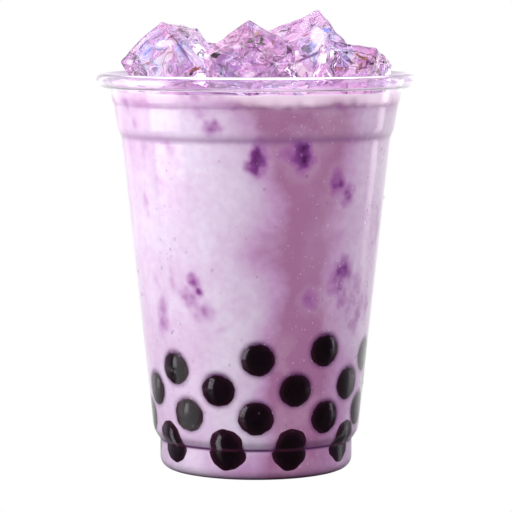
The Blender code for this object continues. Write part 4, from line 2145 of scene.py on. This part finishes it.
@dataclass(frozen=True)
class PaleFloor:
    """Floor that is white to the camera and behind the cup, and dark and glossy before it."""

    colour: tuple[float, float, float, float] = (0.05, 0.045, 0.05, 1.0)
    roughness: float = 0.12
    whitening: tuple[float, float] = (-0.02, 0.15)  # where it turns white, from front to back

    def material(self) -> bpy.types.Material:
        """Make the finish.

        Returns:
            The finish as a material.
        """
        shader = Shader("pale_floor")
        shader.set(Base_Color=self.colour, Roughness=self.roughness, Specular_IOR_Level=0.5)
        glow = shader.node("ShaderNodeEmission")
        path = shader.node("ShaderNodeLightPath")
        place = shader.node("ShaderNodeTexCoord")
        split = shader.node("ShaderNodeSeparateXYZ")
        behind = stretching(shader.tree, smooth=True)
        behind.inputs["From Min"].default_value, behind.inputs["From Max"].default_value = self.whitening
        either = calculation(shader.tree, "MAXIMUM")
        blend = shader.node("ShaderNodeMixShader")
        shader.wire(place.outputs["Object"], split.inputs[0])
        shader.wire(split.outputs["Y"], behind.inputs["Value"])
        shader.wire(path.outputs["Is Camera Ray"], either.inputs[0])
        shader.wire(behind.outputs["Result"], either.inputs[1])
        shader.wire(either.outputs[0], blend.inputs[0])
        shader.wire(shader.principled.outputs[0], blend.inputs[1])
        shader.wire(glow.outputs[0], blend.inputs[2])
        shader.wire(blend.outputs[0], shader.output.inputs["Surface"])
        return shader.material


@dataclass
class Studio:
    """Pale floor, white surroundings, soft lights and the camera."""

    camera_distance: float = 0.859
    camera_height: float = 0.1464
    camera_tilt: float = 5.4
    lens: float = 196.9
    sensor_width: float = 36.0
    front: Colour = (0.04, 0.03, 0.045)
    side: Colour = (0.24, 0.16, 0.27)
    flank: Colour = (0.56, 0.43, 0.62)
    back: Colour = (1.0, 1.0, 1.0)
    floor_radius: float = 3.0
    floor_gap: float = 0.2 * MM
    floor_finish: PaleFloor = field(default_factory=PaleFloor)
    softboxes: tuple[Softbox, ...] = (
        Softbox("key", -76.0, 0.28, 0.18, 0.18, 0.38, 1.1),
        Softbox("fill", 2.0, 1.3, 0.6, 1.2, 0.8, 15.5, mirrored=False),
        Softbox("left_fill", -34.0, 0.9, 0.3, 0.5, 0.6, 4.0, mirrored=False),
        Softbox("right_fill", 80.0, 0.9, 0.3, 0.4, 0.6, 5.4, mirrored=False),
        Softbox("overhead", 172.0, 0.12, 0.62, 0.60, 0.40, 2.2, fading=0.3),
        Softbox("left_edge", -140.0, 0.30, 0.19, 0.10, 0.36, 0.15, fading=0.4),
        Softbox("right_edge", 118.0, 0.30, 0.16, 0.09, 0.40, 0.35, fading=0.4),
    )

    def camera(self) -> None:
        """Place the camera at the photo's height and angle."""
        data = bpy.data.cameras.new("camera")
        data.lens = self.lens
        data.sensor_width = self.sensor_width
        made = bpy.data.objects.new("camera", data)
        made.location = (0.0, -self.camera_distance, self.camera_height)
        made.rotation_euler = (math.radians(90.0 - self.camera_tilt), 0.0, 0.0)
        bpy.context.scene.collection.objects.link(made)
        bpy.context.scene.camera = made

    def surroundings(self) -> None:
        """Make the surroundings white to the camera, bright behind the cup and dim before it."""
        world = bpy.data.worlds.new("studio")
        world.use_nodes = True
        tree = world.node_tree
        soft = tree.nodes["Background"]
        white = tree.nodes.new("ShaderNodeBackground")
        white.inputs["Color"].default_value = (*self.back, 1.0)
        place = tree.nodes.new("ShaderNodeTexCoord")
        split = tree.nodes.new("ShaderNodeSeparateXYZ")
        depth = stretching(tree)
        depth.inputs["From Min"].default_value = -1.0
        stops = [
            (0.0, self.front), (0.5, self.front), (0.68, self.side), (0.88, self.flank), (0.96, self.back),
        ]
        ramp = colour_band(tree, stops)
        path = tree.nodes.new("ShaderNodeLightPath")
        both = tree.nodes.new("ShaderNodeMixShader")
        tree.links.new(place.outputs["Generated"], split.inputs[0])
        tree.links.new(split.outputs["Y"], depth.inputs["Value"])
        tree.links.new(depth.outputs["Result"], ramp.inputs["Fac"])
        tree.links.new(ramp.outputs["Color"], soft.inputs["Color"])
        tree.links.new(path.outputs["Is Camera Ray"], both.inputs[0])
        tree.links.new(soft.outputs[0], both.inputs[1])
        tree.links.new(white.outputs[0], both.inputs[2])
        tree.links.new(both.outputs[0], tree.nodes["World Output"].inputs[0])
        bpy.context.scene.world = world

    def floor(self) -> None:
        """Lay a wide floor just below the cup."""
        deselect_all()
        bpy.ops.mesh.primitive_circle_add(
            vertices=96, radius=self.floor_radius, fill_type="NGON", location=(0.0, 0.0, -self.floor_gap)
        )
        floor = bpy.context.object
        floor.name = "floor"
        dress(floor, self.floor_finish.material())

    def build(self) -> None:
        """Set up the whole studio."""
        self.camera()
        for box in self.softboxes:
            box.build()
        self.surroundings()
        self.floor()
        scene = bpy.context.scene
        scene.view_settings.view_transform = "Standard"
        scene.cycles.max_bounces = 24
        scene.cycles.transmission_bounces = 20
        scene.cycles.transparent_max_bounces = 24


def main() -> None:
    """Load the frame, model and dress every piece, and set up the studio."""
    logging.basicConfig(level=logging.INFO, format="%(message)s")
    noise.seed_set(NOISE_SEED)
    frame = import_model()
    LOG.info("frame nodes: %s", ", ".join(frame["nodes"]))
    studio = Studio()
    studio.build()
    cup = Cup()
    for maker in (cup, Dew(cup), MilkTea(cup), TapiocaPearls(cup), IceHeap()):
        made = maker.build()
        for piece in made if isinstance(made, list) else [made]:
            LOG.info("%s: %d faces", piece.name, len(piece.data.polygons))


if __name__ == "__main__":
    main()
